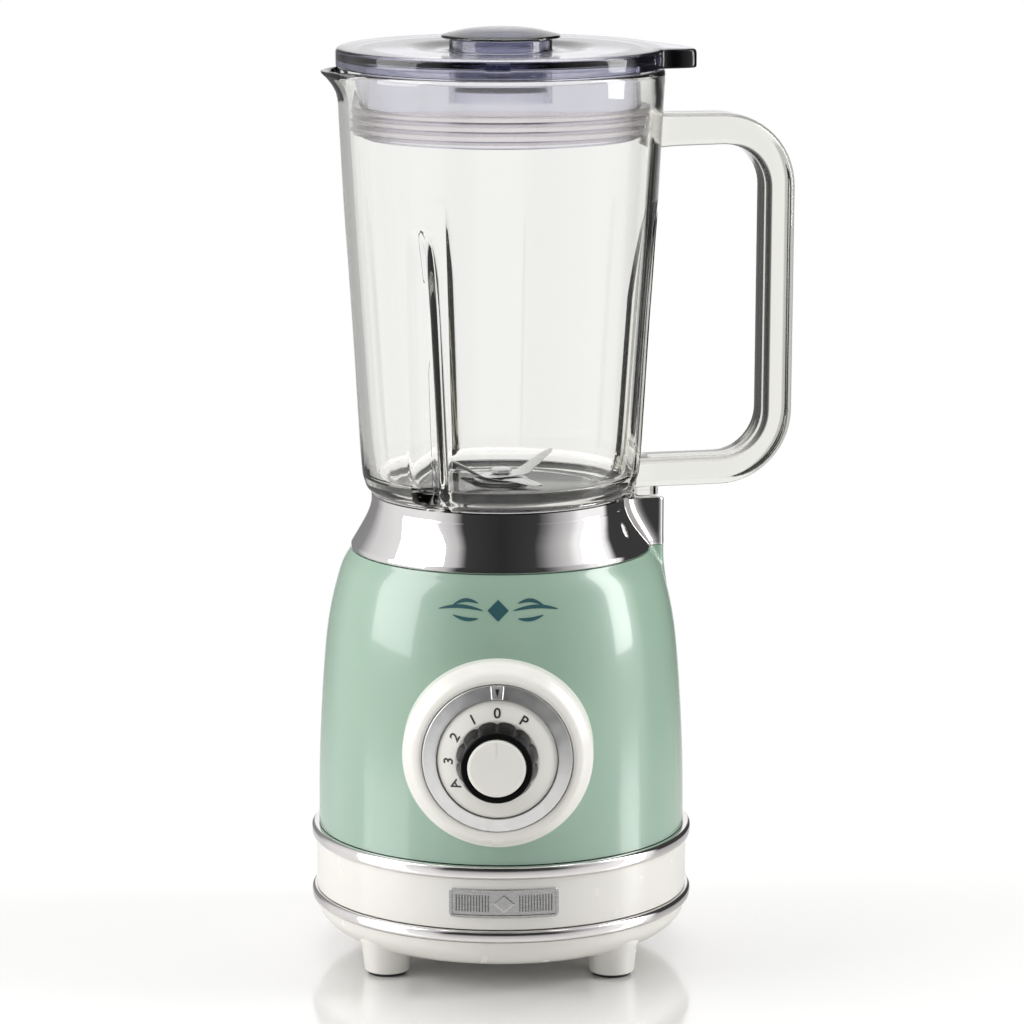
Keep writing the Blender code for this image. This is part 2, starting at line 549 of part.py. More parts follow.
def make_blade_unit(looks, jug_frame):
    """The shaft through the jug's floor, with two bent blades above it and the lobed coupling below."""
    frame = make_empty("blade_spin_axis", jug_frame)
    cylinder("blade_shaft", 3.0, 193.8, 214.6, looks["steel"], frame)
    blades = (("lower_blade", -60.0, -1.2, 25, 210.5), ("upper_blade", BLADE_TURN, 9, 26, 211.8))
    for name, turn, lift, reach, low in blades:
        turned_frame = make_empty(f"{name}_turn", frame, rotation=(0, 0, turn))
        blade = lofted(name, blade_rings(lift, reach, low), looks["steel"], turned_frame)
        add_boolean(blade, cylinder(f"{name}_bore", 3.3, 205, 216, None, frame), "DIFFERENCE")
    nut = cylinder("blade_nut", 4.9, 213.1, 215.4, looks["steel"], frame, 6)
    add_boolean(nut, cylinder("blade_nut_bore", 3.3, 212, 215, None, frame), "DIFFERENCE")
    coupling = prism("driven_coupling", star(12.7, 9.9), 192.4, 199.2, looks["black"], frame)
    add_boolean(coupling, cylinder("driven_bore", 3.3, 193.5, 201, None, frame), "DIFFERENCE")


def make_lid(looks, base):
    """The plate with its lifting tab, the skirt inside the jug and the chimney that takes the measuring cap."""
    inner, outer = CHIMNEY
    outline = [(inner, 403.6), (outer, 403.6), (outer, 398), (31, 398), (39.5, LID_TOP), (69.8, LID_TOP),
               (LID_RADIUS, 398.5), (LID_RADIUS, LID_BOTTOM), (60.5, LID_BOTTOM), (60.5, SKIRT_BOTTOM),
               (58, SKIRT_BOTTOM), (58, 395.5), (outer, 395.5), (outer, 380), (inner, 380)]
    lid = turned("lid", outline, looks["smoky"], base)
    tab = [(56, 25), (60, -18), (68, -16.7), (82.2, -11.1), (84, -10), (84.4, -7.5), (83.6, -3.5), (80.6, 4),
           (76, 11.8), (70.5, 20), (63, 31.5)]
    add_boolean(lid, prism("tab_shape", tab, LID_BOTTOM + 0.1, LID_TOP - 0.1, None, base), "UNION")
    tube("lid_gasket", 60.8, 64.9, 364, 376, looks["silicone"], base, BIG)


def make_measuring_cap(looks, jug_frame):
    dome = [(0, 408.3), (13, 407.7), (21, 406.2), (25.8, 405), (25.8, 403.9)]
    cup = [(20, 403.9), (20, 384), (18.2, 384), (18.2, 402.6), (12, 404.6), (0, 405.3)]
    turned("measuring_cap", dome + cup, looks["smoky"], jug_frame, MIDDLE)


def main():
    clear_scene()
    looks = make_materials()
    base = make_empty("motor_axis", None, (AXIS_X, AXIS_Y, 0))
    jug_frame = make_empty("jug_axis", base, rotation=(0, 0, HANDLE_TURN))

    make_bottom_housing(looks, base)
    make_foot_pads(looks, base)
    make_trim_ring("lower_trim_ring", LOWER_TRIM, 78.8, looks, base)
    make_trim_ring("upper_trim_ring", UPPER_TRIM, 78.0, looks, base)
    make_base_band(looks, base)
    make_badge_plate(looks, base)
    make_body_shell(looks, base, jug_frame)
    make_chrome_collar(looks, base, jug_frame)
    make_jug_seat(looks, base)
    make_interlock(looks, jug_frame)

    make_motor_plate(looks, base)
    make_base_screws(looks, base)
    make_stator(looks, base)
    make_brushes(looks, base)
    make_rotor(looks, base)

    space = [(radius + GAP, height) for radius, height in curve_through(SHELL_CURVE, 2)]
    shell_space = turned("shell_space", [(0, SHELL_BOTTOM), *space, (0, SHELL_TOP)], None, base)
    make_speed_dial(looks, base, shell_space)
    make_cord_gland(looks, base)

    make_jug(looks, jug_frame)
    make_blade_unit(looks, jug_frame)
    make_lid(looks, base)
    make_measuring_cap(looks, jug_frame)


main()
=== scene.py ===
# Countertop blender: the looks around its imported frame.
# Lengths are in millimetres and turn into metres as each piece is put in its place.
import json
import math

import bmesh
import bpy
from mathutils import Matrix, Vector


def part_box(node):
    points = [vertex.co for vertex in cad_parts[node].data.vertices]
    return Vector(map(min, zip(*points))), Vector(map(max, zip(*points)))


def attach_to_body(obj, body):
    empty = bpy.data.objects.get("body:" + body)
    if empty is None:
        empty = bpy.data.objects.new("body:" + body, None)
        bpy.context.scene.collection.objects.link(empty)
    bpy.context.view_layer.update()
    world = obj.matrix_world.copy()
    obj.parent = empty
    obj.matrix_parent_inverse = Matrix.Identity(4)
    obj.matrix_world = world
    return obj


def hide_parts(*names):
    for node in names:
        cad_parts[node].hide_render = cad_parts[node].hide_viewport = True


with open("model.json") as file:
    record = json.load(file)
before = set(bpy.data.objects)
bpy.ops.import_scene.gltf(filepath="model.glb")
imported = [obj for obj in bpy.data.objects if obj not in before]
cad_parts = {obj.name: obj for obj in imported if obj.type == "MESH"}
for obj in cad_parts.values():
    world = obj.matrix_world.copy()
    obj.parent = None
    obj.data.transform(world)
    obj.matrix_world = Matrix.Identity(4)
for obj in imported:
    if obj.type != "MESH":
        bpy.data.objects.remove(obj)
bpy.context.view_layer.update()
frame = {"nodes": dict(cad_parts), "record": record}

mm = 0.001
print("frame loaded:", len(frame["nodes"]), "nodes")


# Places and sizes read from the frame

def middle(node):
    low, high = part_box(node)
    return (low + high) / 2 / mm


def lowOf(node):
    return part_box(node)[0].z / mm


def topOf(node):
    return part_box(node)[1].z / mm


def acrossOf(node):
    low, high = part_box(node)
    return (high.x - low.x) / 2 / mm


axis = middle("base_band")  # the motor's axis
pinWay = middle("interlock_pin") - axis
handleTurn = math.atan2(pinWay.y, pinWay.x)  # of the handle from +X
dialHeight = middle("knob_cap").z

scale = Matrix.Scale(mm, 4)
baseFrame = scale @ Matrix.Translation((axis.x, axis.y, 0))
jugFrame = baseFrame @ Matrix.Rotation(handleTurn, 4, "Z")
dialFrame = baseFrame @ Matrix.Translation((0, 0, dialHeight)) @ Matrix.Rotation(math.radians(90), 4, "X")


# Outlines

def smoothed(points, steps=6):  # a soft curve through the points
    ends = [points[0], *points, points[-1]]
    curve = []
    for a, b, c, d in zip(ends, ends[1:], ends[2:], ends[3:]):
        for step in range(steps):
            t = step / steps
            weights = (-t + 2 * t**2 - t**3, 2 - 5 * t**2 + 3 * t**3, t + 4 * t**2 - 3 * t**3, -t**2 + t**3)
            curve.append(tuple(sum(w * p[k] for w, p in zip(weights, (a, b, c, d))) / 2 for k in range(len(b))))
    return curve + [tuple(points[-1])]


def rounded(points, steps=4):  # a third number is how far a corner is rounded off
    outline = []
    for k, point in enumerate(points):
        here = Vector(point[:2])
        if len(point) == 2 or k in (0, len(points) - 1):
            outline.append(tuple(here))
            continue
        before, after = Vector(points[k - 1][:2]) - here, Vector(points[k + 1][:2]) - here
        cut = min(point[2], before.length * 0.49, after.length * 0.49)
        start, end = here + before.normalized() * cut, here + after.normalized() * cut
        for step in range(steps + 1):
            t = step / steps
            outline.append(tuple(start.lerp(here, t).lerp(here.lerp(end, t), t)))
    return outline


def valueAt(curve, height):  # radius of a curve of (radius, height) at a height
    for (r1, z1), (r2, z2) in zip(curve, curve[1:]):
        if z1 <= height <= z2:
            return r1 + (r2 - r1) * (height - z1) / max(z2 - z1, 1e-9)
    return curve[0][0] if height < curve[0][1] else curve[-1][0]


def softMax(a, b, blend):
    near = max(blend - abs(a - b), 0) / blend
    return max(a, b) + near * near * blend / 4


def slabReach(angle, reach, half, corner):  # how far a rounded slab on +X goes out at an angle
    along, across = math.cos(angle), abs(math.sin(angle))
    if along <= 0.05:
        return 0.0
    inX, inY = reach - corner, half - corner
    if reach * across / along <= inY:
        return reach / along
    if half * along / max(across, 1e-9) <= inX:
        return half / across
    dot = along * inX + across * inY
    return dot + math.sqrt(max(dot * dot - inX * inX - inY * inY + corner * corner, 0))


def bell(distance, width):  # 1 at 0, falling softly to 0 at the width
    return math.cos(math.pi / 2 * min(abs(distance) / width, 1)) ** 2


def columns(sides, dense=()):  # angles round a piece, closer together near some of them
    angles = [math.tau * k / sides for k in range(sides)]
    for place, spread, count in dense:
        angles += [math.radians(place + spread * (2 * k / count - 1)) % math.tau for k in range(count + 1)]
    kept = []
    for angle in sorted(angles):
        if not kept or angle - kept[-1] > 0.0008:
            kept.append(angle)
    return kept


# Meshes

def addObject(name, data):
    item = bpy.data.objects.new(name, data)
    bpy.context.scene.collection.objects.link(item)
    return item


def makePiece(name, bm, finish, place, sharp=35, merge=0.0004):
    bmesh.ops.remove_doubles(bm, verts=bm.verts, dist=merge)
    bmesh.ops.recalc_face_normals(bm, faces=bm.faces)
    bmesh.ops.transform(bm, matrix=place, verts=bm.verts)
    mesh = bpy.data.meshes.new(name)
    bm.to_mesh(mesh)
    bm.free()
    mesh.shade_smooth()
    mesh.set_sharp_from_angle(angle=math.radians(sharp))
    mesh.materials.append(finish)
    return addObject(name, mesh)


def bridge(bm, low, high):
    count = max(len(low), len(high))
    for k in range(count):
        after = (k + 1) % count
        if len(low) == 1:
            bm.faces.new((low[0], high[after], high[k]))
        elif len(high) == 1:
            bm.faces.new((low[k], low[after], high[0]))
        else:
            bm.faces.new((low[k], low[after], high[after], high[k]))


def addTurned(bm, outline, angles=None, reach=None, centre=(0, 0)):
    # spins (radius, height) points; reach may change a row's radius at each angle
    angles = angles or columns(96)
    rings = []
    for row, (radius, height) in enumerate(outline):
        if radius < 1e-6:
            rings.append([bm.verts.new((centre[0], centre[1], height))])
            continue
        ring = []
        for angle in angles:
            out = reach(row, radius, height, angle) if reach else radius
            ring.append(bm.verts.new((centre[0] + out * math.cos(angle), centre[1] + out * math.sin(angle), height)))
        rings.append(ring)
    pairs = list(zip(rings, rings[1:]))
    if len(rings[0]) > 1 and len(rings[-1]) > 1:
        pairs.append((rings[-1], rings[0]))
    for low, high in pairs:
        bridge(bm, low, high)


def addLoft(bm, rows):  # rows of equally many points, capped at both ends
    rings = [[bm.verts.new(point) for point in row] for row in rows]
    for low, high in zip(rings, rings[1:]):
        bridge(bm, low, high)
    bm.faces.new(rings[0])
    bm.faces.new(rings[-1])


def turnedPiece(name, outline, finish, place, angles=None, reach=None, sharp=35, centre=(0, 0)):
    bm = bmesh.new()
    addTurned(bm, outline, angles, reach, centre)
    return makePiece(name, bm, finish, place, sharp)


def loftPiece(name, rows, finish, place, sharp=35):
    bm = bmesh.new()
    addLoft(bm, rows)
    return makePiece(name, bm, finish, place, sharp)


def plug(name, radius, low, high, finish, place, sides=32, centre=(0, 0)):  # a plain cylinder, to cut with
    outline = [(0, low), (radius, low), (radius, high), (0, high)]
    return turnedPiece(name, outline, finish, place, columns(sides), centre=centre)


def layers(outline, heights):  # rows of an (x, y) outline at some heights
    return [[(x, y, z) for x, y in outline] for z in heights]


def settle(piece, sharp=35):  # bakes the modifiers into a plain mesh
    graph = bpy.context.evaluated_depsgraph_get()
    mesh = bpy.data.meshes.new_from_object(piece.evaluated_get(graph))
    piece.modifiers.clear()
    old = piece.data
    piece.data = mesh
    bpy.data.meshes.remove(old)
    mesh.name = piece.name
    mesh.shade_smooth()
    mesh.set_sharp_from_angle(angle=math.radians(sharp))
    return piece


def combine(piece, tools, sharp=35):  # joins or cuts with other shapes, then removes these
    for operation, tool in tools:
        change = piece.modifiers.new(tool.name, "BOOLEAN")
        change.operation = operation
        change.solver = "EXACT"
        change.object = tool
    settle(piece, sharp)
    for _, tool in tools:
        bpy.data.objects.remove(tool)
    return piece


def attach(piece, body, slot, *nodes):
    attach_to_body(piece, body)
    if nodes:
        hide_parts(*nodes)
    return piece


# Shader trees

def joins(operation, swapped=False):
    def method(self, other):
        return self.looks.sum(operation, *((other, self) if swapped else (self, other)))
    return method


class Wire:  # an output socket that takes part in sums
    def __init__(self, looks, socket):
        self.looks = looks
        self.socket = socket

    __add__ = __radd__ = joins("ADD")
    __sub__, __rsub__ = joins("SUBTRACT"), joins("SUBTRACT", True)
    __mul__ = __rmul__ = joins("MULTIPLY")
    __truediv__ = joins("DIVIDE")
    __gt__ = joins("GREATER_THAN")


class Looks:
    def __init__(self, tree):
        self.tree = tree

    def add(self, kind, settings, inputs, out=0):  # makes any node and returns one of its outputs
        node = self.tree.nodes.new(kind)
        for name, value in settings.items():
            if name == "stops":
                ramp = node.color_ramp
                while len(ramp.elements) < len(value):
                    ramp.elements.new(1.0)
                for element, (place, colour) in zip(ramp.elements, value):
                    element.position = place
                    element.color = colour if len(colour) == 4 else (*colour, 1)
            else:
                setattr(node, name, value)
        for name, value in inputs.items():
            if isinstance(value, Wire):
                self.tree.links.new(value.socket, node.inputs[name])
            else:
                node.inputs[name].default_value = value
        return Wire(self, node.outputs[out])

    def sum(self, operation, a, b):
        return self.add("ShaderNodeMath", {"operation": operation}, {0: a, 1: b})

    def parts(self, vector):  # x, y and z
        split = self.add("ShaderNodeSeparateXYZ", {}, {"Vector": vector}).socket.node
        return [Wire(self, output) for output in split.outputs]

    def mix(self, factor, a, b):
        a, b = [value if isinstance(value, Wire) else (*value, 1) for value in (a, b)]
        return self.add("ShaderNodeMix", {"data_type": "RGBA"}, {0: factor, 6: a, 7: b}, 2)

    def point(self, stretch=(1, 1, 1), move=(0, 0, 0)):
        where = self.add("ShaderNodeTexCoord", {}, {}, "Object")
        return self.add("ShaderNodeMapping", {}, {"Vector": where, "Scale": stretch, "Location": move})

    def noise(self, size, detail=2.0, stretch=(1, 1, 1)):  # size of its blotches in millimetres
        values = {"Vector": self.point(stretch), "Scale": 1 / (size * mm), "Detail": detail}
        return self.add("ShaderNodeTexNoise", {}, values, "Fac")

    def spread(self, value, low, high, first=0.0, last=1.0, kind="SMOOTHSTEP"):
        return self.add("ShaderNodeMapRange", {"interpolation_type": kind}, {
            "Value": value, "From Min": low, "From Max": high, "To Min": first, "To Max": last})

    def bump(self, height, depth):  # depth in millimetres
        return self.add("ShaderNodeBump", {}, {"Height": height, "Distance": depth * mm, "Strength": 1.0})


def makeFinish(name, varied, **fixed):
    # varied takes a Looks and gives the wires that change over the surface
    finish = bpy.data.materials.new(name)
    finish.use_nodes = True
    shader = finish.node_tree.nodes["Principled BSDF"]
    for socket, value in fixed.items():
        shader.inputs[socket.replace("_", " ")].default_value = value
    looks = Looks(finish.node_tree)
    for socket, wire in varied(looks).items():
        finish.node_tree.links.new(wire.socket, shader.inputs[socket])
    return finish


# Finishes

def plasticLooks(light, dark, rough, blotch=35, grain=0.5, depth=0.004):
    def varied(looks):
        cloud, fine = looks.noise(blotch, 3), looks.noise(grain, 2)
        return {"Base Color": looks.mix(cloud, dark, light),
                "Roughness": rough + 0.08 * (looks.noise(9, 4) - 0.5),
                "Normal": looks.bump(fine, depth)}
    return varied


def greenLacquer():
    values = {"light": (0.322, 0.460, 0.362), "dark": (0.291, 0.423, 0.332), "rough": 0.24}
    return makeFinish("greenLacquer", plasticLooks(**values, blotch=55, grain=1.6, depth=0.006),
                      Coat_Weight=0.55, Coat_Roughness=0.06, IOR=1.5)


# lift scales the cream's colour: above 1 it paints light into a brighter copy, below 1 it paints shade into a darker
# copy, and 1 is the plain cream
def creamPlastic(name="creamPlastic", rough=0.26, lift=1.0):
    values = {"light": (0.795, 0.781, 0.735), "dark": (0.755, 0.741, 0.695)}
    paintedLightAndShadeTones = {key: tuple(tone * lift for tone in colour) for key, colour in values.items()}
    return makeFinish(name, plasticLooks(**paintedLightAndShadeTones, rough=rough), IOR=1.5)


def chromePlate():
    values = {"clean": 0.035, "smudged": 0.10, "dark": (0.78, 0.755, 0.755), "light": (0.85, 0.83, 0.83)}

    def varied(looks):
        return {"Base Color": looks.mix(looks.noise(40, 2), values["dark"], values["light"]),
                "Roughness": looks.spread(looks.noise(22, 5), 0.5, 0.75, values["clean"], values["smudged"], "LINEAR"),
                "Normal": looks.bump(looks.noise(14, 1), 0.004)}
    return makeFinish("chromePlate", varied, Metallic=1.0)


def clearFinish(name, tint, density, colour, ior, rough, cloud, ripple, depth, stretch=(1, 1, 1)):
    # rough is (least, how much more where cloudy); cloud and ripple are noise sizes with their detail
    def varied(looks):
        return {"Roughness": rough[0] + rough[1] * looks.noise(*cloud),
                "Normal": looks.bump(looks.noise(*ripple, stretch), depth)}
    finish = makeFinish(name, varied, Base_Color=(*colour, 1), Transmission_Weight=1.0, IOR=ior)
    inside = finish.node_tree.nodes.new("ShaderNodeVolumeAbsorption")  # tints what light passes through
    inside.inputs["Color"].default_value = (*tint, 1)
    inside.inputs["Density"].default_value = density
    finish.node_tree.links.new(inside.outputs[0], finish.node_tree.nodes["Material Output"].inputs["Volume"])
    return finish


def jugGlass():
    return clearFinish("jugGlass", (0.58, 0.565, 0.42), 16.0, (1, 1, 1), 1.50, (0.004, 0.006), (30, 3), (26, 1), 0.03,
                       (1, 1, 0.35))


def smokyPlastic(name="smokyPlastic", density=56.0):
    return clearFinish(name, (0.35, 0.35, 0.50), density, (0.97, 0.97, 1.0), 1.49, (0.05, 0.05), (18, 4), (9, 2), 0.008)


def paleSilicone():
    return clearFinish("paleSilicone", (0.66, 0.58, 0.56), 9.0, (0.98, 0.94, 0.93), 1.41, (0.16, 0.12), (6, 4),
                       (1.2, 2), 0.01)


def brushedSteel(name, tone, rough, stretch=(1, 1, 30), depth=0.004):
    def varied(looks):
        lines = looks.noise(6, 3, stretch)
        return {"Base Color": looks.mix(lines, (tone * 0.86,) * 3, (tone * 1.08,) * 3),
                "Roughness": rough + 0.16 * (lines - 0.5),
                "Normal": looks.bump(lines, depth)}
    return makeFinish(name, varied, Metallic=1.0)


def layeredMetal(name, way, scale, wander, detail, dark, light, rough, cloud, depth, metal):
    def varied(looks):
        bands = looks.add("ShaderNodeTexWave", {"bands_direction": way},
                          {"Vector": looks.point(), "Scale": scale / mm, "Distortion": wander, "Detail": detail})
        return {"Base Color": looks.mix(bands, dark, light),
                "Roughness": rough[0] + rough[1] * looks.noise(*cloud),
                "Normal": looks.bump(bands, depth)}
    return makeFinish(name, varied, Metallic=metal)


def darkFinish(name, tone, rough, grain, depth, shine=0.4):  # black plastic, rubber and carbon
    light, dark = (tone * 1.5,) * 3, (tone * 0.8,) * 3
    return makeFinish(name, plasticLooks(light, dark, rough, 14, grain, depth), Specular_IOR_Level=shine)


def ink(name, colour):
    def varied(looks):
        wear = looks.noise(0.8, 3)
        return {"Base Color": looks.mix(wear, colour, tuple(min(1, c * 1.25 + 0.01) for c in colour)),
                "Roughness": 0.32 + 0.12 * wear,
                "Normal": looks.bump(wear, 0.003)}
    return makeFinish(name, varied)


green, chrome, glass, silicone = greenLacquer(), chromePlate(), jugGlass(), paleSilicone()
# the dial disc's cream is the same cream darkened by 0.97 as painted shade, with its own roughness
cream, discCreamPaintedShade = creamPlastic(), creamPlastic("discCreamPaintedShade", 0.30, 0.97)
# the knob cap's and the bezel's creams are the same cream brightened by 1.12 and 1.04 as painted light
capCreamPaintedLight, bezelCreamPaintedLight = creamPlastic("capCreamPaintedLight", 0.26, 1.12), creamPlastic("bezelCreamPaintedLight", 0.26, 1.04)
smoky, smokyCap = smokyPlastic(), smokyPlastic("smokyCap", 420.0)
satin = brushedSteel("satinChrome", 0.80, 0.42, (1, 1, 1), 0.002)
steel = brushedSteel("brushedSteel", 0.62, 0.24)
bladeSteel = brushedSteel("bladeSteel", 0.70, 0.14, (4, 22, 1), 0.003)
badgeField = brushedSteel("badgeField", 0.20, 0.38, (1, 1, 24), 0.006)
badgeEdge = brushedSteel("badgeEdge", 0.62, 0.26, (1, 1, 24), 0.004)
copper = layeredMetal("copperWire", "Y", 0.5, 0.6, 1.0, (0.32, 0.10, 0.04), (0.68, 0.29, 0.13),
                      (0.30, 0.15), (5, 3), 0.12, 1.0)
iron = layeredMetal("laminatedIron", "Z", 0.45, 0.2, 2.0, (0.10, 0.10, 0.11), (0.30, 0.30, 0.31),
                    (0.42, 0.2), (12, 4), 0.06, 0.9)
blackGloss = darkFinish("blackGloss", 0.004, 0.24, 2.4, 0.004, 0.06)
blackPlastic = darkFinish("blackPlastic", 0.022, 0.42, 0.7, 0.02)
rubber = darkFinish("blackRubber", 0.020, 0.72, 0.5, 0.05)
carbon = darkFinish("carbon", 0.035, 0.60, 0.3, 0.03)
tealInk, dialInk = ink("tealInk", (0.018, 0.075, 0.085)), ink("dialInk", (0.014, 0.016, 0.020))
print("finishes made")


# Geometry Nodes

class Nodes(Looks):
    def __init__(self, name, finish, inputs):  # inputs are {name: value}, and wires holds them in the same order
        super().__init__(bpy.data.node_groups.new(name, "GeometryNodeTree"))
        kinds = {int: "Int", float: "Float", tuple: "Vector", bpy.types.Material: "Material"}
        sockets = self.tree.interface
        self.name, self.finish, self.values = name, finish, {}
        sockets.new_socket("Geometry", in_out="INPUT", socket_type="NodeSocketGeometry")
        for label, value in {**inputs, "Finish": finish}.items():
            socket = sockets.new_socket(label, in_out="INPUT", socket_type=f"NodeSocket{kinds[type(value)]}")
            self.values[socket.identifier] = value
        sockets.new_socket("Geometry", in_out="OUTPUT", socket_type="NodeSocketGeometry")
        outputs = list(self.tree.nodes.new("NodeGroupInput").outputs)[:len(inputs) + 2]
        self.start, *self.wires, self.paint = [Wire(self, output) for output in outputs]

    def calc(self, operation, value):  # maths that has no operator of its own
        return self.add("ShaderNodeMath", {"operation": operation}, {0: value})

    def vector(self, x, y, z):
        return self.add("ShaderNodeCombineXYZ", {}, {"X": x, "Y": y, "Z": z})

    def build(self, geometry, place, sharp=35, blank=None):
        # realizes, sets the material and bakes a plain mesh; blank is a mesh that the tree changes
        solid = self.add("GeometryNodeRealizeInstances", {}, {0: geometry})
        done = self.add("GeometryNodeSetMaterial", {}, {"Geometry": solid, "Material": self.paint})
        self.tree.links.new(done.socket, self.tree.nodes.new("NodeGroupOutput").inputs[0])
        mesh = bpy.data.meshes.new(self.name)
        if blank:
            blank.to_mesh(mesh)
            blank.free()
        holder = addObject(self.name, mesh)
        change = holder.modifiers.new("shape", "NODES")
        change.node_group = self.tree
        for identifier, value in self.values.items():
            change[identifier] = value
        settle(holder, sharp)
        bm = bmesh.new()
        bm.from_mesh(holder.data)
        bpy.data.objects.remove(holder)
        return makePiece(self.name, bm, self.finish, place, sharp)


def sweptRing(name, radius, width, height, corner, level, finish, place, sides=160):
    # a rounded bar bent into a ring, its middle level with a height
    nodes = Nodes(name, finish, {
        "Radius": radius, "Bar Width": width, "Bar Height": height, "Corner": corner, "Sides": sides})
    radius, width, height, corner, sides = nodes.wires
    circle = nodes.add("GeometryNodeCurvePrimitiveCircle", {}, {"Resolution": sides, "Radius": radius})
    bar = nodes.add("GeometryNodeCurvePrimitiveQuadrilateral", {}, {"Width": width, "Height": height})
    soft = nodes.add("GeometryNodeFilletCurve", {"mode": "POLY"},
                     {"Curve": bar, "Radius": corner, "Count": 5, "Limit Radius": True})
    ring = nodes.add("GeometryNodeCurveToMesh", {}, {"Curve": circle, "Profile Curve": soft})
    return nodes.build(ring, place @ Matrix.Translation((0, 0, level)), 50)


def barsOnArc(name, count, radius, sweep, thick, tall, level, finish, place):
    # upright round bars, evenly spaced along an arc that is centred on the front
    nodes = Nodes(name, finish, {
        "Count": count, "Radius": radius, "Start": -math.pi / 2 - sweep / 2, "Sweep": sweep, "Bar Radius": thick,
        "Bar Height": tall})
    count, radius, start, sweep, thick, tall = nodes.wires
    arc = nodes.add("GeometryNodeCurveArc", {}, {
        "Resolution": count, "Radius": radius, "Start Angle": start, "Sweep Angle": sweep})
    bar = nodes.add("GeometryNodeMeshCylinder", {}, {"Vertices": 10, "Radius": thick, "Depth": tall})
    bars = nodes.add("GeometryNodeInstanceOnPoints", {}, {"Points": arc, "Instance": bar})
    return nodes.build(bars, place @ Matrix.Translation((0, 0, level)), 40)


def slotsRound(name, groups, lanes, radius, pitch, slot, finish, place):
    # groups of parallel slots round a middle, each group turned with its place
    nodes = Nodes(name, finish, {"Groups": groups, "Lanes": lanes, "Radius": radius, "Pitch": pitch, "Slot": slot})
    groups, lanes, radius, pitch, slot = nodes.wires
    index = nodes.add("GeometryNodeInputIndex", {}, {})
    lane = (nodes.sum("MODULO", index, lanes) - (lanes - 1) * 0.5) * pitch
    turn = nodes.calc("FLOOR", index / lanes) * math.tau / groups
    across, along = nodes.calc("SINE", turn), nodes.calc("COSINE", turn)
    spot = nodes.vector(radius * along - lane * across, radius * across + lane * along, 0)
    spots = nodes.add("GeometryNodePoints", {}, {"Count": groups * lanes, "Position": spot})
    bar = nodes.add("GeometryNodeMeshCube", {}, {"Size": slot})
    bars = nodes.add("GeometryNodeInstanceOnPoints", {}, {
        "Points": spots, "Instance": bar, "Rotation": nodes.vector(0, 0, turn)})
    return nodes.build(bars, place)


def fluted(name, blank, flutes, depth, low, top, beyond, finish, place, sharp=30):
    # presses hollows round a turned blank: deepest at its foot, gone at its top, and only beyond a radius
    nodes = Nodes(name, finish, {"Flutes": flutes, "Depth": depth, "Low": low, "Top": top, "Beyond": beyond})
    flutes, depth, low, top, beyond = nodes.wires
    x, y, z = nodes.parts(nodes.add("GeometryNodeInputPosition", {}, {}))
    radius = nodes.calc("SQRT", x * x + y * y)
    wave = nodes.calc("ABSOLUTE", nodes.calc("SINE", nodes.sum("ARCTAN2", y, x) * flutes * 0.5))
    fade = nodes.spread(z, low, top, 1.0, 0.0, "LINEAR")
    press = depth * nodes.sum("POWER", 1 - wave, 1.6) * nodes.calc("SQRT", fade)
    shrink = 1 - press * (radius > beyond) / radius
    moved = nodes.vector(x * shrink, y * shrink, z)
    pressed = nodes.add("GeometryNodeSetPosition", {}, {"Geometry": nodes.start, "Position": moved})
    return nodes.build(pressed, place, sharp, blank)


# Base: housing with feet, trim rings, band and badge

def makeHousing():
    size = {"bottom": 9.2, "footLow": 9.8, "footTop": 11.2, "footSeat": 8.3, "pad": 8.4, "screwPlace": 36.0,
            "screwHole": 4.2, "ventGroups": 6, "ventLanes": 3, "ventRadius": 33.0, "ventPitch": 7.5,
            "vent": (18.0, 3.2, 6.0), "ventLevel": 11.0}
    low, reach, foot = size["bottom"], acrossOf("base_band"), middle("foot_pad_rear_right") - axis
    padTop, footTop, screw = topOf("foot_pad_rear_right"), size["footTop"], size["screwPlace"]
    outline = smoothed([(58, low), (64, 9.5), (70, 10.8), (76, 13.6), (80.3, 18.2), (reach - 0.2, 23.4)], 5)
    outline = [(0, low)] + outline + [(reach - 1.4, 23.7), (reach - 2.6, 23.0), (73.6, 16.4), (58, 12.6), (0, 12.6)]
    housing = turnedPiece("bottomHousing", outline, cream, baseFrame, columns(128))
    leg = rounded([(0, padTop), (size["footSeat"], padTop), (size["footLow"], padTop, 0.8), (footTop, 13.4),
                   (footTop + 1.0, 15.5), (footTop + 1.0, 17), (0, 17)])
    corners = [(side, end) for side in (-1, 1) for end in (-1, 1)]
    tools = [("UNION", turnedPiece("leg", leg, cream, baseFrame, columns(48), centre=(side * foot.x, end * foot.y)))
             for side, end in corners]
    tools += [("DIFFERENCE", plug("screwHole", size["screwHole"], 8, 12.2, cream, baseFrame, 24,
                                  (side * screw, end * screw))) for side, end in corners]
    vents = slotsRound("vents", size["ventGroups"], size["ventLanes"], size["ventRadius"], size["ventPitch"],
                       size["vent"], cream, baseFrame @ Matrix.Translation((0, 0, size["ventLevel"])))
    combine(housing, tools + [("DIFFERENCE", vents)])
    attach(housing, "base", "cream_plastic", "bottom_housing")
    for end in ("front", "rear"):
        for side in ("left", "right"):
            node = f"foot_pad_{end}_{side}"
            place, top = middle(node) - axis, topOf(node)
            outline = rounded([(0, 0), (size["pad"], 0, 0.4), (size["pad"], top), (0, top)])
            pad = turnedPiece(f"footPad{end.title()}{side.title()}", outline, rubber, baseFrame, columns(48),
                              centre=(place.x, place.y))
            attach(pad, "base", "black_rubber", node)


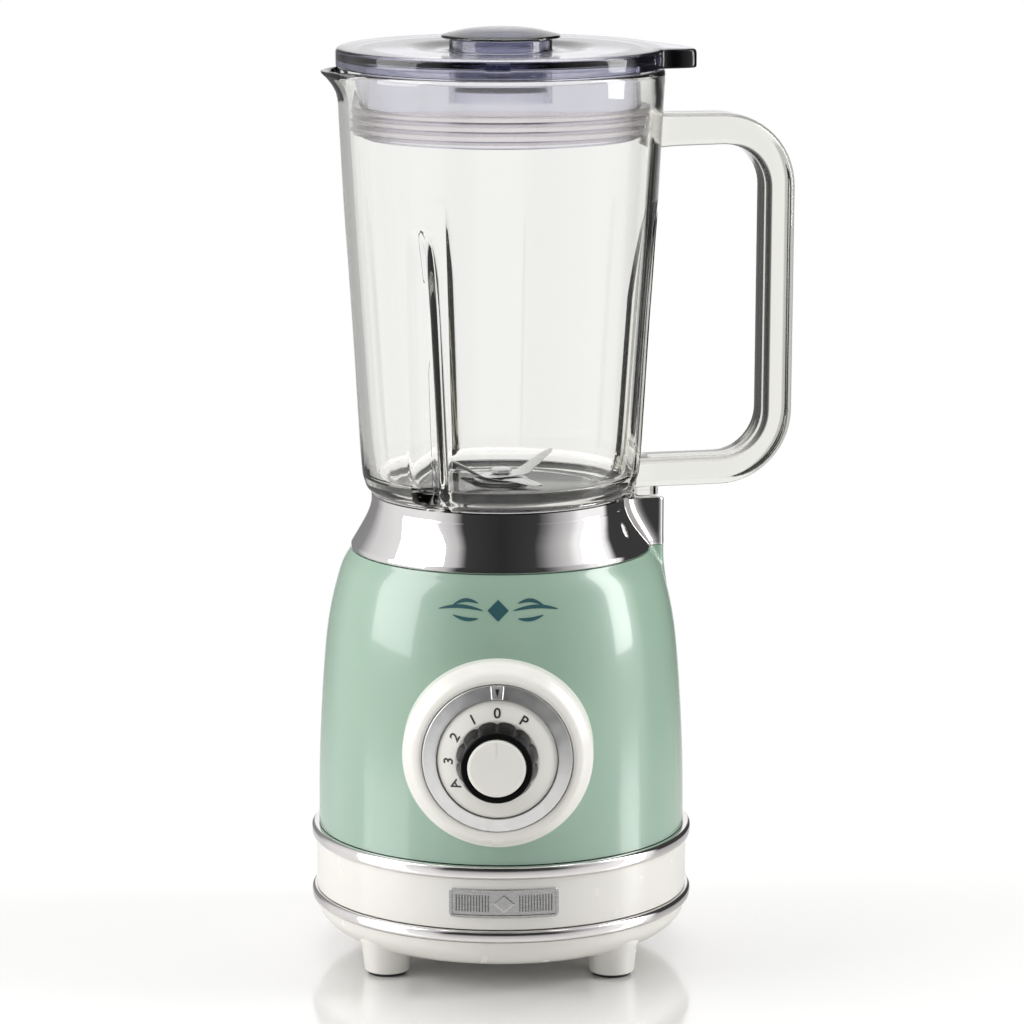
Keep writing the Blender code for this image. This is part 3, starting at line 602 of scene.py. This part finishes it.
def makeBands():
    size = {"barWidth": 5.2, "corner": 1.7}
    for node in ("lower_trim_ring", "upper_trim_ring"):
        low, high, reach = lowOf(node), topOf(node), acrossOf(node)
        name = "trimRing" + node.split("_")[0].title()
        ring = sweptRing(name, reach - size["barWidth"] / 2, size["barWidth"], high - low, size["corner"],
                         (low + high) / 2, chrome, baseFrame)
        attach(ring, "base", "chrome", node)
    low, high, reach = lowOf("base_band"), topOf("base_band"), acrossOf("base_band")
    outline = [(reach - 2.6, low), (reach, low, 0.5), (reach, high, 0.5), (reach - 2.6, high)]
    band = turnedPiece("baseBand", rounded(outline), cream, baseFrame, columns(160))
    attach(band, "base", "cream_plastic", "base_band")


def makeBadge():
    size = {"wide": 47.0, "tall": 12.6, "corner": 1.6, "border": 1.2, "field": 0.7, "edge": 1.3, "bars": 12,
            "barsPlace": 13.6, "barsWide": 13.8, "barRadius": 0.36, "barGap": 5.4,
            "lozenge": [(0, -3.9), (4.6, 0), (0, 3.9), (-4.6, 0)]}
    reach, level = acrossOf("base_band"), middle("badge_plate").z
    start = (middle("badge_plate").x - axis.x) / reach  # how far round from the front it sits
    half, high, corner, border, edge = size["wide"] / 2, size["tall"] / 2, size["corner"], size["border"], size["edge"]

    def wrapped(x, out, z):
        turn = start + x / reach
        return ((reach + out) * math.sin(turn), -(reach + out) * math.cos(turn), level + z)

    near = [half, half - 0.25, half - 0.6, half - 1.0, half - corner, half - border - 0.001, half - border - 0.25]
    rows = []
    for x in sorted({side * x for side in (-1, 1) for x in near + [k * half / 18 for k in range(17)]}):
        past = max(abs(x) - (half - corner), 0)
        h = high - corner + math.sqrt(max(corner * corner - past * past, 0.01))
        inner = size["field"] if abs(x) < half - border - 0.1 else edge
        side = [(h, -0.6), (h, edge - 0.3), (h - 0.3, edge), (h - border + 0.1, edge), (h - border, inner)]
        rows.append([wrapped(x, out, -z) for z, out in side] + [wrapped(x, out, z) for z, out in reversed(side)])
    attach(loftPiece("badgePlate", rows, badgeEdge, baseFrame, 25), "base", "badge_metal", "badge_plate")
    h = high - border - 0.1
    field = [[wrapped(k * (half - border) / 16, out, z) for z, out in ((-h, 0.3), (-h, 0.62), (h, 0.62), (h, 0.3))]
             for k in range(-16, 17)]
    attach(loftPiece("badgeField", field, badgeField, baseFrame, 25), "base", "badge_metal")
    for side, name in ((-1, "badgeBarsLeft"), (1, "badgeBarsRight")):
        turn = Matrix.Rotation(start + side * size["barsPlace"] / reach, 4, "Z")
        bars = barsOnArc(name, size["bars"], reach + 0.6, size["barsWide"] / reach, size["barRadius"],
                         size["tall"] - size["barGap"], level, badgeField, baseFrame @ turn)
        attach(bars, "base", "badge_metal")
    rows = [[wrapped(x * k, out, z * k) for x, z in size["lozenge"]] for k, out in ((1, 0.4), (1, 0.95), (0.86, 1.15))]
    attach(loftPiece("badgeLozenge", rows, badgeEdge, baseFrame, 20), "base", "badge_metal")


# Body shell, its ornament and the chrome collar

shellSize = {"curve": [(80.8, 57.8), (80.1, 96.0), (76.8, 143.0), (71.2, 170.0), (65.9, 181.0)],
             "wall": 2.6, "blockFrom": 158.0, "blockReach": 70.7, "blockHalf": 14.0, "blockCorner": 2.6, "blend": 3.0}
shellCurve = smoothed(shellSize["curve"], 12)
blockColumns = columns(120, [(11.5, 4.2, 44), (-11.5, 4.2, 44)])


def blockOut(radius, angle, shrink=0.0, blend=7.0):  # the block that stands out under the handle
    slab = slabReach(angle, shellSize["blockReach"] - shrink, shellSize["blockHalf"] - shrink,
                     shellSize["blockCorner"])
    return softMax(radius, slab, blend) if slab > radius - blend else radius


def makeShell():
    top = shellCurve[-1][1]
    inner = [(radius - shellSize["wall"], height) for radius, height in shellCurve[::6] if height < top - 6]
    outline = shellCurve + [(50, top), (50, top - 3), (63, top - 3)] + inner[::-1]

    def reach(row, radius, height, angle):
        if row >= len(shellCurve) or height < shellSize["blockFrom"]:
            return radius
        return blockOut(radius, angle - handleTurn, 0.0, shellSize["blend"])

    angles = [angle + handleTurn for angle in blockColumns]
    attach(turnedPiece("bodyShell", outline, green, baseFrame, angles, reach), "base", "green_body", "body_shell")


def makeOrnament():
    size = {"level": 167.0, "reach": 26.0, "thick": 0.8, "raise": 0.12, "sunk": -0.3, "steps": 24,
            "lozenge": 4.4, "lozengeStep": 0.55}
    # strokes are (start, end, lift, sway)
    strokes = ((6.5, size["reach"], 0.0, 1.5), (8.5, 19.5, -3.4, -0.9), (8.5, 19.5, 3.0, 1.6))
    bm = bmesh.new()

    def band(x, z, half):  # a piece of a stripe, standing across it
        row = []
        for edge, out in ((-half, size["sunk"]), (-half, size["raise"]), (half, size["raise"]), (half, size["sunk"])):
            radius = valueAt(shellCurve, size["level"] + z + edge)
            turn = x / radius
            row.append(((radius + out) * math.sin(turn), -(radius + out) * math.cos(turn), size["level"] + z + edge))
        return row

    for side in (-1, 1):
        for start, end, lift, sway in strokes:
            rows = []
            for k in range(size["steps"] + 1):
                t = k / size["steps"]
                half = max(size["thick"] * math.sin(math.pi * (k + 0.15) / (size["steps"] + 0.3)) ** 0.6, 0.1)
                rows.append(band(side * (start + (end - start) * t),
                                 lift * (1 - 0.35 * t) + sway * math.sin(math.pi * t), half))
            addLoft(bm, rows[::side])
    addLoft(bm, [band(k * size["lozengeStep"], 0, size["lozenge"] * (1 - abs(k) / 8) + 0.12) for k in range(-8, 9)])
    ornament = makePiece("pinstripeOrnament", bm, tealInk, baseFrame, 30, 0.00001)
    attach(ornament, "base", "green_body")


def makeCollar():
    size = {"flare": [(65.8, 183.4), (63.9, 186.6), (61.8, 190.2), (59.9, 193.6), (58.3, 197), (57.2, 200.4),
                      (56.9, 203)], "inner": 54.8, "blockTop": 202.0, "edge": 0.7, "pinHole": 2.4,
            "hollow": [(61.0, -11.5), (68.2, -11.5), (68.2, 11.5), (61.0, 11.5)], "hollowTop": 199.2}
    low, top = lowOf("chrome_collar"), topOf("chrome_collar")
    flare = smoothed(size["flare"], 4)
    blockTop, edge = size["blockTop"], size["edge"]
    atTop = valueAt(flare, blockTop)
    # a third number is how far the block is drawn in at that height; None leaves the block out
    outer = [(65.4, low, 0.0), (65.8, low + 0.5, 0.0)]
    outer += [(radius, height, 0.0) for radius, height in flare if height < blockTop - edge - 0.1]
    outer += [(atTop, blockTop - edge, 0.0), (atTop, blockTop - 0.2, 0.2), (atTop, blockTop, edge),
              (atTop, blockTop, None), (56.9, 203.2, None), (56.9, top - 0.5, None), (56.4, top, None)]
    inner = [(size["inner"] + 0.4, top), (size["inner"], top - 0.5), (size["inner"], 201), (58.8, 190.2), (62.8, 184),
             (62.8, low)]

    def reach(row, radius, height, angle):
        shrink = outer[row][2] if row < len(outer) else None
        return radius if shrink is None else blockOut(radius, angle, shrink)

    outline = [(radius, height) for radius, height, _ in outer] + inner
    collar = turnedPiece("chromeCollar", outline, chrome, jugFrame, blockColumns, reach)
    hollow = loftPiece("blockHollow", layers(size["hollow"], (low - 2, size["hollowTop"])), chrome, jugFrame)
    pinHole = plug("pinHole", size["pinHole"], 197, 204, chrome, jugFrame, 24, (pinWay.length_squared**0.5, 0))
    combine(collar, [("DIFFERENCE", hollow), ("DIFFERENCE", pinHole)])
    attach(collar, "base", "chrome", "chrome_collar")


# Speed dial

dialSize = {"bezel": 40.7, "edge": 82.0, "face": 89.0, "ring": 32.0, "disc": 25.6, "slope": (17.8, 94.0),
            "flutes": 12, "markRing": 20.5, "markSize": 6.3, "markWeight": 0.09, "markDepth": 0.12,
            "marks": (("0", 0), ("P", 33), ("1", -30), ("2", -60), ("3", -90), ("A", -120))}


def makeBezel():
    edge, face, ring, out = dialSize["edge"], dialSize["face"], dialSize["ring"], dialSize["bezel"]
    brow = [(out, edge - 1.0), (out - 0.5, edge + 0.9), (out - 2.1, 85), (36.4, 87.6), (34.2, face - 0.2), (33.2, face)]
    outline = [(out, 0), (out, edge - 1.2)] + smoothed(brow, 4)
    outline += [(ring + 0.6, face - 0.1), (ring + 0.25, face - 0.6), (ring + 0.25, 86), (16.3, 86), (16.3, 0)]
    bm = bmesh.new()
    addTurned(bm, outline, columns(128))
    for vert in bm.verts:  # its back follows the shell, half a millimetre inside the surface
        if abs(vert.co.z) < 0.001:
            radius = valueAt(shellCurve, dialHeight + vert.co.y)
            vert.co.z = math.sqrt(max(radius * radius - vert.co.x * vert.co.x, 0)) - 0.5
    attach(makePiece("dialBezel", bm, bezelCreamPaintedLight, dialFrame, 30), "base", "cream_plastic", "dial_bezel")


def makeIndexRing():
    size = {"tab": [(-2.4, 26.3), (2.4, 26.3), (2.9, 31.7), (-2.9, 31.7)], "tabMiddle": 29.0, "slope": 0.33,
            "arrow": [(-0.9, 30.6), (0.9, 30.6), (0.0, 27.2)]}
    inner, outer = dialSize["disc"] + 0.3, dialSize["ring"]
    outline = rounded([(inner, 86.3), (outer, 86.3), (outer, 88.8, 0.5), (outer - 1.2, 89.2, 0.4),
                       (inner + 1.0, 90.6, 0.5), (inner, 90.9, 0.4), (inner, 87)])
    ring = turnedPiece("indexRing", outline, satin, dialFrame, columns(128), sharp=25)
    attach(ring, "base", "chrome", "index_ring")

    def onSlope(y, lift):
        return 91.1 - (y - inner) * size["slope"] + lift

    rows = [[(x * (1 - shrink / 3), y + (shrink if y < size["tabMiddle"] else -shrink), onSlope(y, lift))
             for x, y in size["tab"]] for shrink, lift in ((0, -1.0), (0, 0.55), (0.35, 0.85))]
    attach(loftPiece("indexTab", rows, satin, dialFrame, 20), "base", "chrome")
    rows = [[(x, y, onSlope(y, lift)) for x, y in size["arrow"]] for lift in (0.6, 0.98)]
    attach(loftPiece("indexArrow", rows, dialInk, dialFrame, 20), "base", "black_plastic")


def makeDisc():
    out, (slopeIn, slopeTop), ring = dialSize["disc"], dialSize["slope"], dialSize["markRing"]
    outline = rounded([(3.4, 87), (out, 87), (out, 90, 0.5), (slopeIn, slopeTop, 0.5), (3.4, slopeTop)])
    disc = turnedPiece("dialDisc", outline, discCreamPaintedShade, dialFrame, columns(128), sharp=25)
    attach(disc, "speed_dial", "cream_plastic", "dial_disc")
    tilt = math.atan2(slopeTop - 90, out - slopeIn)
    level = slopeTop - (ring - slopeIn) * math.tan(tilt)
    onSlope = Matrix.Translation((0, ring, level)) @ Matrix.Rotation(-tilt, 4, "X")
    bm = bmesh.new()
    for text, turn in dialSize["marks"]:
        curve = bpy.data.curves.new("mark", "FONT")
        curve.body, curve.size = text, dialSize["markSize"]
        curve.align_x, curve.align_y = "CENTER", "CENTER"
        curve.extrude, curve.offset = dialSize["markDepth"], dialSize["markWeight"]
        letter = addObject("mark", curve)
        graph = bpy.context.evaluated_depsgraph_get()
        mesh = bpy.data.meshes.new_from_object(letter.evaluated_get(graph))
        mesh.transform(Matrix.Rotation(math.radians(-turn), 4, "Z") @ onSlope)
        bm.from_mesh(mesh)
        bpy.data.objects.remove(letter)
        bpy.data.meshes.remove(mesh)
    attach(makePiece("dialMarks", bm, dialInk, dialFrame, 30, 0.0001), "speed_dial", "black_plastic")


def makeKnob():
    size = {"depth": 1.2, "low": 94.9, "top": 105.2, "fluted": 14.8, "bore": 3.3, "well": 12.8, "cap": 12.4,
            "groove": [(-0.35, 4.6), (0.35, 4.6), (0.35, 11.4), (-0.35, 11.4)], "grooveFloor": 106.62}
    bore, well, cap = size["bore"], size["well"], size["cap"]
    outline = smoothed([(17.55, 94.3), (17.55, 95.2), (17.2, 97), (16.6, 100), (15.9, 103), (15.45, 104.6)], 3)
    outline += [(15.3, 105.2), (15.0, 106.0), (14.6, 106.3), (13.1, 106.3), (well, 105.9), (well, 104.6), (bore, 104.6),
                (bore, 94.3)]
    blank = bmesh.new()
    addTurned(blank, outline, columns(216))
    knob = fluted("dialKnob", blank, dialSize["flutes"], size["depth"], size["low"], size["top"], size["fluted"],
                  blackGloss, dialFrame)
    attach(knob, "speed_dial", "gloss_black", "knob")
    outline = rounded([(0, 104.9), (cap, 104.9), (cap, 106.3, 0.5), (cap - 1.1, 106.8, 0.5), (0, 106.8)])
    piece = turnedPiece("knobCap", outline, capCreamPaintedLight, dialFrame, columns(96), sharp=30)
    groove = loftPiece("pointerGroove", layers(size["groove"], (size["grooveFloor"], 107.5)), capCreamPaintedLight, dialFrame)
    combine(piece, [("DIFFERENCE", groove)], 30)
    attach(piece, "speed_dial", "cream_plastic", "knob_cap")


# Glass jug

jugSize = {"bottom": 205.0, "floor": 208.0, "rim": 391.2, "hole": 9.6, "ribTop": 327.0, "ribLow": 206.0,
           "ribFade": 34.0, "ribWidth": 4.8, "ribSpread": 3.0, "ribSoft": 3.5, "ribInside": 0.85,
           "ribs": ((102.5, 4.2), (225, 7.0), (342, 7.0)),  # degrees round from the handle, depth
           "spout": 9.0, "spoutLow": 376.0, "spoutWidth": 22.0, "handleOut": 124.0, "handleTop": 362.8,
           "handleLow": 212.3, "handleRoots": (66.8, 58.5), "bend": 26.0, "taper": 0.5, "halfWidth": 9.5, "corner": 3.3}


def jugReach(angle, radius, height, inside):
    degrees, below = math.degrees(angle) % 360, max(jugSize["ribTop"] - height, 0)
    strength = min(1, below / jugSize["ribFade"]) ** 0.55 * min(1, max((height - jugSize["ribLow"]) / 7, 0))
    wide = jugSize["ribWidth"] + jugSize["ribSpread"] * min(1, below / 110) + (jugSize["ribSoft"] if inside else 0)
    press = strength * sum(depth * bell((degrees - place + 180) % 360 - 180, wide) for place, depth in jugSize["ribs"])
    lift = max((height - jugSize["spoutLow"]) / (jugSize["rim"] - jugSize["spoutLow"]), 0) ** 2
    spout = jugSize["spout"] * lift * bell(degrees - 180, jugSize["spoutWidth"])
    return radius - press * (jugSize["ribInside"] if inside else 1) + spout


def handleRows():
    bend, top, low = jugSize["bend"], jugSize["handleTop"], jugSize["handleLow"]
    out, near = jugSize["handleOut"], jugSize["handleOut"] - jugSize["taper"]
    (rootTop, rootLow), corner, down = jugSize["handleRoots"], jugSize["corner"], math.pi / 2

    def turn(centre, level, start):  # a quarter bend of the handle's middle line
        return [(centre + bend * math.sin(a), level + bend * math.cos(a), -a)
                for a in (start + down * k / 14 for k in range(15))]

    path = [(rootTop + (out - bend - rootTop) * k / 10, top, 0.0) for k in range(10)]
    path += turn(out - bend, top - bend, 0)
    path += [(out + (near - out) * k / 8, top - bend + (low + 2 * bend - top) * k / 8, -down) for k in range(1, 8)]
    path += turn(near - bend, low + bend, down)
    path += [(near - bend + (rootLow - near + bend) * k / 8, low, -math.pi) for k in range(1, 9)]
    rows = []
    for k, (x, z, heading) in enumerate(path):
        t = k / (len(path) - 1)
        flare = math.exp(-(x - rootTop) / 3.6) if k < 10 else (math.exp(-(x - rootLow) / 4.0) if t > 0.8 else 0)
        thick = 7.1 - 0.5 * min(t / 0.3, 1) + (flare if k < 10 else 0)
        wide = jugSize["halfWidth"] + 1.2 * flare
        row = []
        for side, lift, start in ((1, 1, 0), (-1, 1, 90), (-1, -1, 180), (1, -1, 270)):
            for step in range(8):
                a = math.radians(start + 90 * step / 7)
                h = lift * (thick - corner) + corner * math.sin(a)
                row.append((x - math.sin(heading) * h, side * (wide - corner) + corner * math.cos(a),
                            z + math.cos(heading) * h))
        rows.append(row)
    return rows


def makeJug():
    size = {"boss": [(60.0, -8), (68.2, -8), (69.5, -6.7), (69.5, 6.7), (68.2, 8), (60.0, 8)], "bossLow": 202.3}
    outer = smoothed([(40, 205), (51, 205), (57.2, 207), (59.9, 211), (61.4, 222), (64.3, 272), (66.9, 312),
                      (68, 329), (70.2, 371), (70.8, 382), (71, 388.6)], 7)
    inner = smoothed([(66.6, 388.6), (66.3, 382), (65.8, 371), (63.7, 336), (62.4, 316), (59.5, 272), (56, 222),
                      (53, 213.4), (47, 209.4), (40, 208)], 7)
    lip = [(70.9, 390.0), (70.2, 390.9), (68.8, jugSize["rim"]), (67.4, 390.9), (66.7, 390.0)]
    outline = [(jugSize["hole"], jugSize["bottom"])] + outer + lip + inner + [(jugSize["hole"], jugSize["floor"])]
    firstInner = 1 + len(outer) + 2
    angles = columns(96, [(place, 11, 24) for place, _ in jugSize["ribs"]] + [(180, 22, 22)])

    def reach(row, radius, height, angle):
        return radius if radius < 41 else jugReach(angle, radius, height, row > firstInner)

    jug = turnedPiece("glassJug", outline, glass, jugFrame, angles, reach, 40)
    handle = loftPiece("handle", handleRows(), glass, jugFrame)
    boss = loftPiece("boss", layers(size["boss"], (size["bossLow"], 207.2)), glass, jugFrame)
    combine(jug, [("UNION", handle), ("UNION", boss)], 40)
    attach(jug, "jug_unit", "jug_glass", "jug")


# Blades

def makeBlades():
    # stations are (along the blade, half its width, how much of the tip's lift)
    size = {"thick": 1.0, "bore": 3.3,
            "stations": [(-1, 1.5, 1), (-0.93, 2.6, 0.93), (-0.75, 3.7, 0.62), (-0.55, 4.7, 0.24), (-0.44, 5.3, 0.05),
                         (-0.36, 5.8, 0), (-0.22, 6.9, 0), (-0.1, 7.0, 0)]}
    stations, thick, bore = size["stations"], size["thick"], size["bore"]
    stations = stations + [(-a, b, c) for a, b, c in reversed(stations)]
    for name, node, turn, lift, reach, low in (("lowerBlade", "lower_blade", -60.0, -1.2, 25.0, 210.5),
                                               ("upperBlade", "upper_blade", 18.0, 9.0, 26.0, 211.8)):
        rows = []
        for along, half, rise in stations:
            x, z, grind = along * reach, low + rise * lift, min(1.6, half * 0.6)
            section = ((-half, 0.4), (-half + grind, 0), (half - grind, 0), (half, 0.4), (half, 0.6), (half - grind, 1),
                       (-half + grind, 1), (-half, 0.6))
            rows.append([(x, y, z + thick * share) for y, share in section])
        blade = loftPiece(name, rows, bladeSteel, jugFrame @ Matrix.Rotation(math.radians(turn), 4, "Z"), 25)
        hole = plug("bore", bore, 205, 216, bladeSteel, jugFrame)
        combine(blade, [("DIFFERENCE", hole)], 25)
        attach(blade, "blade_unit", "steel", node)
    outline = [(0, 213.1), (4.3, 213.1), (4.9, 213.4), (4.9, 214.8), (4.3, 215.2), (2.6, 215.4), (0, 215.4)]
    nut = turnedPiece("bladeNut", outline, bladeSteel, jugFrame, columns(6), sharp=25)
    hole = plug("bore", bore, 212, 214.9, bladeSteel, jugFrame)
    combine(nut, [("DIFFERENCE", hole)], 25)
    attach(nut, "blade_unit", "steel", "blade_nut")


# Lid, gasket and measuring cap

def makeLid():
    # the tab is a thumb's rest that grows out of the rim: (reach, degrees round) along its edge
    size = {"rim": 71.3, "top": 400.0, "bottom": 391.8, "mark": (-90.0, 4.2), "markDepth": 0.5,
            "tab": [(71.3, -19), (71.3, -15.5), (71.7, -13.6), (74.0, -12.0), (79.0, -10.0), (83.0, -8.0),
                    (84.4, -6.4), (84.4, -4.8), (83.5, -2.2), (81.0, 3.0), (77.4, 9.0), (74.0, 16.0), (72.0, 22.0),
                    (71.3, 29.0), (71.3, 34)]}
    low, tall, top, bottom, rim = lowOf("lid"), topOf("lid"), size["top"], size["bottom"], size["rim"]
    outline = rounded([(20.3, 380), (20.3, tall, 0.5), (22.2, tall, 0.5), (22.2, 398, 1.6), (31, 398, 3.0),
                       (39.5, top, 3.0), (66.0, top), (rim, top, 2.2), (rim, bottom, 1.0), (66.0, bottom),
                       (60.5, bottom, 0.6), (60.5, low, 0.8), (58, low, 0.8), (58, 395.5, 2.0), (22.2, 395.5, 1.0),
                       (22.2, 380)])
    tab = smoothed(size["tab"], 5)
    markAt, markHalf = math.radians(size["mark"][0]) % math.tau, math.radians(size["mark"][1])

    def reach(row, radius, height, angle):
        if radius < 66.5:
            return radius
        out = valueAt(tab, (math.degrees(angle) + 180) % 360 - 180)
        if abs(angle - markAt) < markHalf and bottom + 1.6 < height < top - 1.8:
            out -= size["markDepth"]
        return out - (rim - radius)

    angles = columns(144, [(-8, 9, 60), (14, 14, 24), (size["mark"][0], 4.6, 24)])
    attach(turnedPiece("lidPlate", outline, smoky, baseFrame, angles, reach, 32), "lid_unit", "smoky_plastic", "lid")


def makeGasket():
    size = {"inner": 60.8, "root": 64.1, "lip": 64.9, "lips": 3}
    low, top, root, lip = lowOf("lid_gasket"), topOf("lid_gasket"), size["root"], size["lip"]
    pitch = (top - low) / size["lips"]
    outline = [(size["inner"], low)]
    for k in range(size["lips"]):
        start = low + k * pitch
        outline += [(root, start + 0.1), (lip - 0.5, start + pitch * 0.30), (lip, start + pitch * 0.45),
                    (lip - 0.5, start + pitch * 0.60), (root, start + pitch * 0.85)]
    outline += [(root, top - 0.1), (size["inner"], top)]
    gasket = turnedPiece("lidGasket", outline, silicone, jugFrame, columns(144), sharp=28)
    attach(gasket, "lid_unit", "silicone", "lid_gasket")


def makeCap():
    size = {"edge": 25.8, "neck": 20.0, "bore": 18.2, "low": 384.0}
    top, edge, neck, bore, low = topOf("measuring_cap"), size["edge"], size["neck"], size["bore"], size["low"]
    dome = smoothed([(0, top), (7, top - 0.15), (13, top - 0.6), (18, top - 1.4), (22.5, top - 2.4),
                     (edge - 0.6, top - 3.1)], 4)
    under = [(edge, top - 3.6), (edge, top - 4.1), (edge - 0.6, top - 4.4), (neck, top - 4.4), (neck, low + 0.6),
             (neck - 0.4, low), (bore + 0.4, low), (bore, low + 0.6), (bore, 401.6)]
    inner = smoothed([(bore, 401.6), (16.5, 403.0), (12, 404.4), (6, 405.2), (0, 405.4)], 4)
    cap = turnedPiece("measuringCap", dome + under + inner[1:], smokyCap, jugFrame, columns(96), sharp=32)
    attach(cap, "cap", "smoky_plastic", "measuring_cap")


# CAD nodes that keep their shape

def finishFrame():
    kept = {"black_plastic": blackPlastic, "black_rubber": rubber, "steel": steel, "copper_wire": copper,
            "laminated_iron": iron, "carbon": carbon, "cream_plastic": cream, "chrome": chrome,
            "gloss_black": blackGloss, "green_body": green, "jug_glass": glass, "smoky_plastic": smoky,
            "silicone": silicone, "badge_metal": badgeEdge}
    slots = {part["node"]: part["material_slot"] for part in frame["record"]["subparts"]}
    for node, item in frame["nodes"].items():
        item.data.materials.clear()
        item.data.materials.append(kept[slots[node]])


# Stage

def makeCamera():
    view = {"distance": 1940.0, "height": 566.0, "azimuth": 1.0, "down": 10.8, "aside": 0.143, "lens": 158.2}
    turn = math.radians(view["azimuth"])
    camera = addObject("camera", bpy.data.cameras.new("camera"))
    camera.data.sensor_width = 36.0
    camera.data.lens = view["lens"]
    camera.data.clip_start, camera.data.clip_end = 0.05, 50.0
    camera.location = Vector((axis.x + view["distance"] * math.sin(turn), axis.y - view["distance"] * math.cos(turn),
                              view["height"])) * mm
    camera.rotation_euler = (math.radians(90 - view["down"]), 0, math.radians(view["azimuth"] - view["aside"]))
    bpy.context.scene.camera = camera


def makeFloor():
    size = {"radius": 0.95, "solid": 0.28, "tone": (0.80, 0.79, 0.78)}

    def varied(looks):
        where = looks.add("ShaderNodeTexCoord", {}, {}, "Object")
        away = looks.add("ShaderNodeVectorMath", {"operation": "LENGTH"}, {0: where}, "Value")
        return {"Alpha": looks.spread(away, size["solid"], size["radius"] * 0.9, 1.0, 0.0)}
    finish = makeFinish("paleFloor", varied, Base_Color=(*size["tone"], 1), Roughness=0.16, Specular_IOR_Level=0.6,
                        Coat_Weight=1.0, Coat_Roughness=0.10)
    bm = bmesh.new()
    bmesh.ops.create_circle(bm, cap_ends=True, segments=96, radius=size["radius"])
    mesh = bpy.data.meshes.new("floor")
    bm.to_mesh(mesh)
    bm.free()
    mesh.materials.append(finish)
    addObject("floor", mesh)


def makeLights():
    lamps = {"left": {"place": (-1.8, -0.45, 0.95), "aim": (0, 0, 0.20), "size": (1.3, 1.7), "power": 29.0},
             "right": {"place": (1.55, -0.05, 0.80), "aim": (0, 0, 0.22), "size": (0.50, 1.5), "power": 18.0},
             "top": {"place": (0.0, 0.35, 1.7), "aim": (0, 0, 0.2), "size": (1.3, 1.0), "power": 12.5},
             "front": {"place": (0.55, -2.2, 0.75), "aim": (0, 0, 0.2), "size": (1.2, 1.2), "power": 8.5}}
    for name, values in lamps.items():
        lamp = bpy.data.lights.new(name, "AREA")
        lamp.shape = "RECTANGLE"
        lamp.size, lamp.size_y = values["size"]
        lamp.energy = values["power"]
        item = addObject(name, lamp)
        item.location = values["place"]
        item.rotation_euler = (Vector(values["aim"]) - Vector(values["place"])).to_track_quat("-Z", "Y").to_euler()
        item.visible_transmission = False
        item.visible_glossy = name != "front"  # this one only fills shade


def makeWorld():
    # (degrees round from the front, brightness): what surfaces reflect, and what clear pieces show at their edges
    around = [(-180, 1.05), (-170, 1.05), (-165, 0.26), (-140, 0.30), (-125, 0.75), (-105, 0.90), (-70, 0.95),
              (-60, 0.95), (-42, 0.62), (-33, 0.05), (2, 0.03), (34, 0.05), (42, 0.20), (50, 0.40), (66, 0.70),
              (74, 1.10), (103, 1.10), (109, 0.05), (158, 0.05), (166, 0.14), (171, 1.05), (180, 1.05)]
    through = [(-180, 1.0), (-170, 1.0), (-165, 0.62), (-130, 0.52), (-108, 0.42), (-98, 0.05), (-24, 0.03),
               (-15, 0.75), (15, 0.75), (24, 0.03), (100, 0.02), (158, 0.03), (166, 0.16), (171, 1.0), (180, 1.0)]
    backdrop, overhead, ground, dim = 1.0, 0.46, 0.48, 0.06
    world = bpy.data.worlds.new("studio")
    bpy.context.scene.world = world
    world.use_nodes = True
    looks = Looks(world.node_tree)
    x, y, z = looks.parts(looks.add("ShaderNodeTexCoord", {}, {}, "Generated"))
    share = looks.sum("ARCTAN2", x, y * -1.0) / math.tau + 0.5

    def ring(tones):  # quartered, because a ramp's colours stop at 1
        stops = [((angle + 180) / 360, (tone / 4, tone / 4, tone / 4)) for angle, tone in tones]
        ramp = looks.add("ShaderNodeValToRGB", {"stops": stops}, {"Fac": share}, "Color")
        return looks.add("ShaderNodeRGBToBW", {}, {"Color": ramp}) * 4.0

    up, down = looks.spread(z, 0.80, 0.95), looks.spread(z, -0.34, -0.52)
    reflected = ring(around) * (1 - up) * (1 - down) + up * overhead + down * ground
    steep = 1 - (1 - looks.spread(z, 0.40, 0.62)) * (1 - looks.spread(z, -0.40, -0.62))
    edges = ring(through) * (1 - steep) + steep * dim
    path = looks.add("ShaderNodeLightPath", {}, {}).socket.node.outputs
    depth = Wire(looks, path["Transmission Depth"])
    glassy, straight = depth > 0.5, depth > 2.5
    seen = looks.sum("MAXIMUM", Wire(looks, path["Is Camera Ray"]), straight)
    tone = reflected * (1 - glassy) + edges * glassy
    strength = tone * (1 - seen) + seen * backdrop
    background = world.node_tree.nodes["Background"]
    background.inputs["Color"].default_value = (1.0, 1.0, 1.0, 1)
    world.node_tree.links.new(strength.socket, background.inputs["Strength"])
    bpy.context.scene.view_settings.view_transform = "Standard"


makeCamera()
finishFrame()
makeHousing()
makeBands()
makeBadge()
print("base made")
makeShell()
makeOrnament()
makeCollar()
print("body made")
makeBezel()
makeIndexRing()
makeDisc()
makeKnob()
print("dial made")
makeJug()
print("jug made")
makeBlades()
makeLid()
makeGasket()
makeCap()
print("lid and blades made")
makeFloor()
makeLights()
makeWorld()
print("stage made")
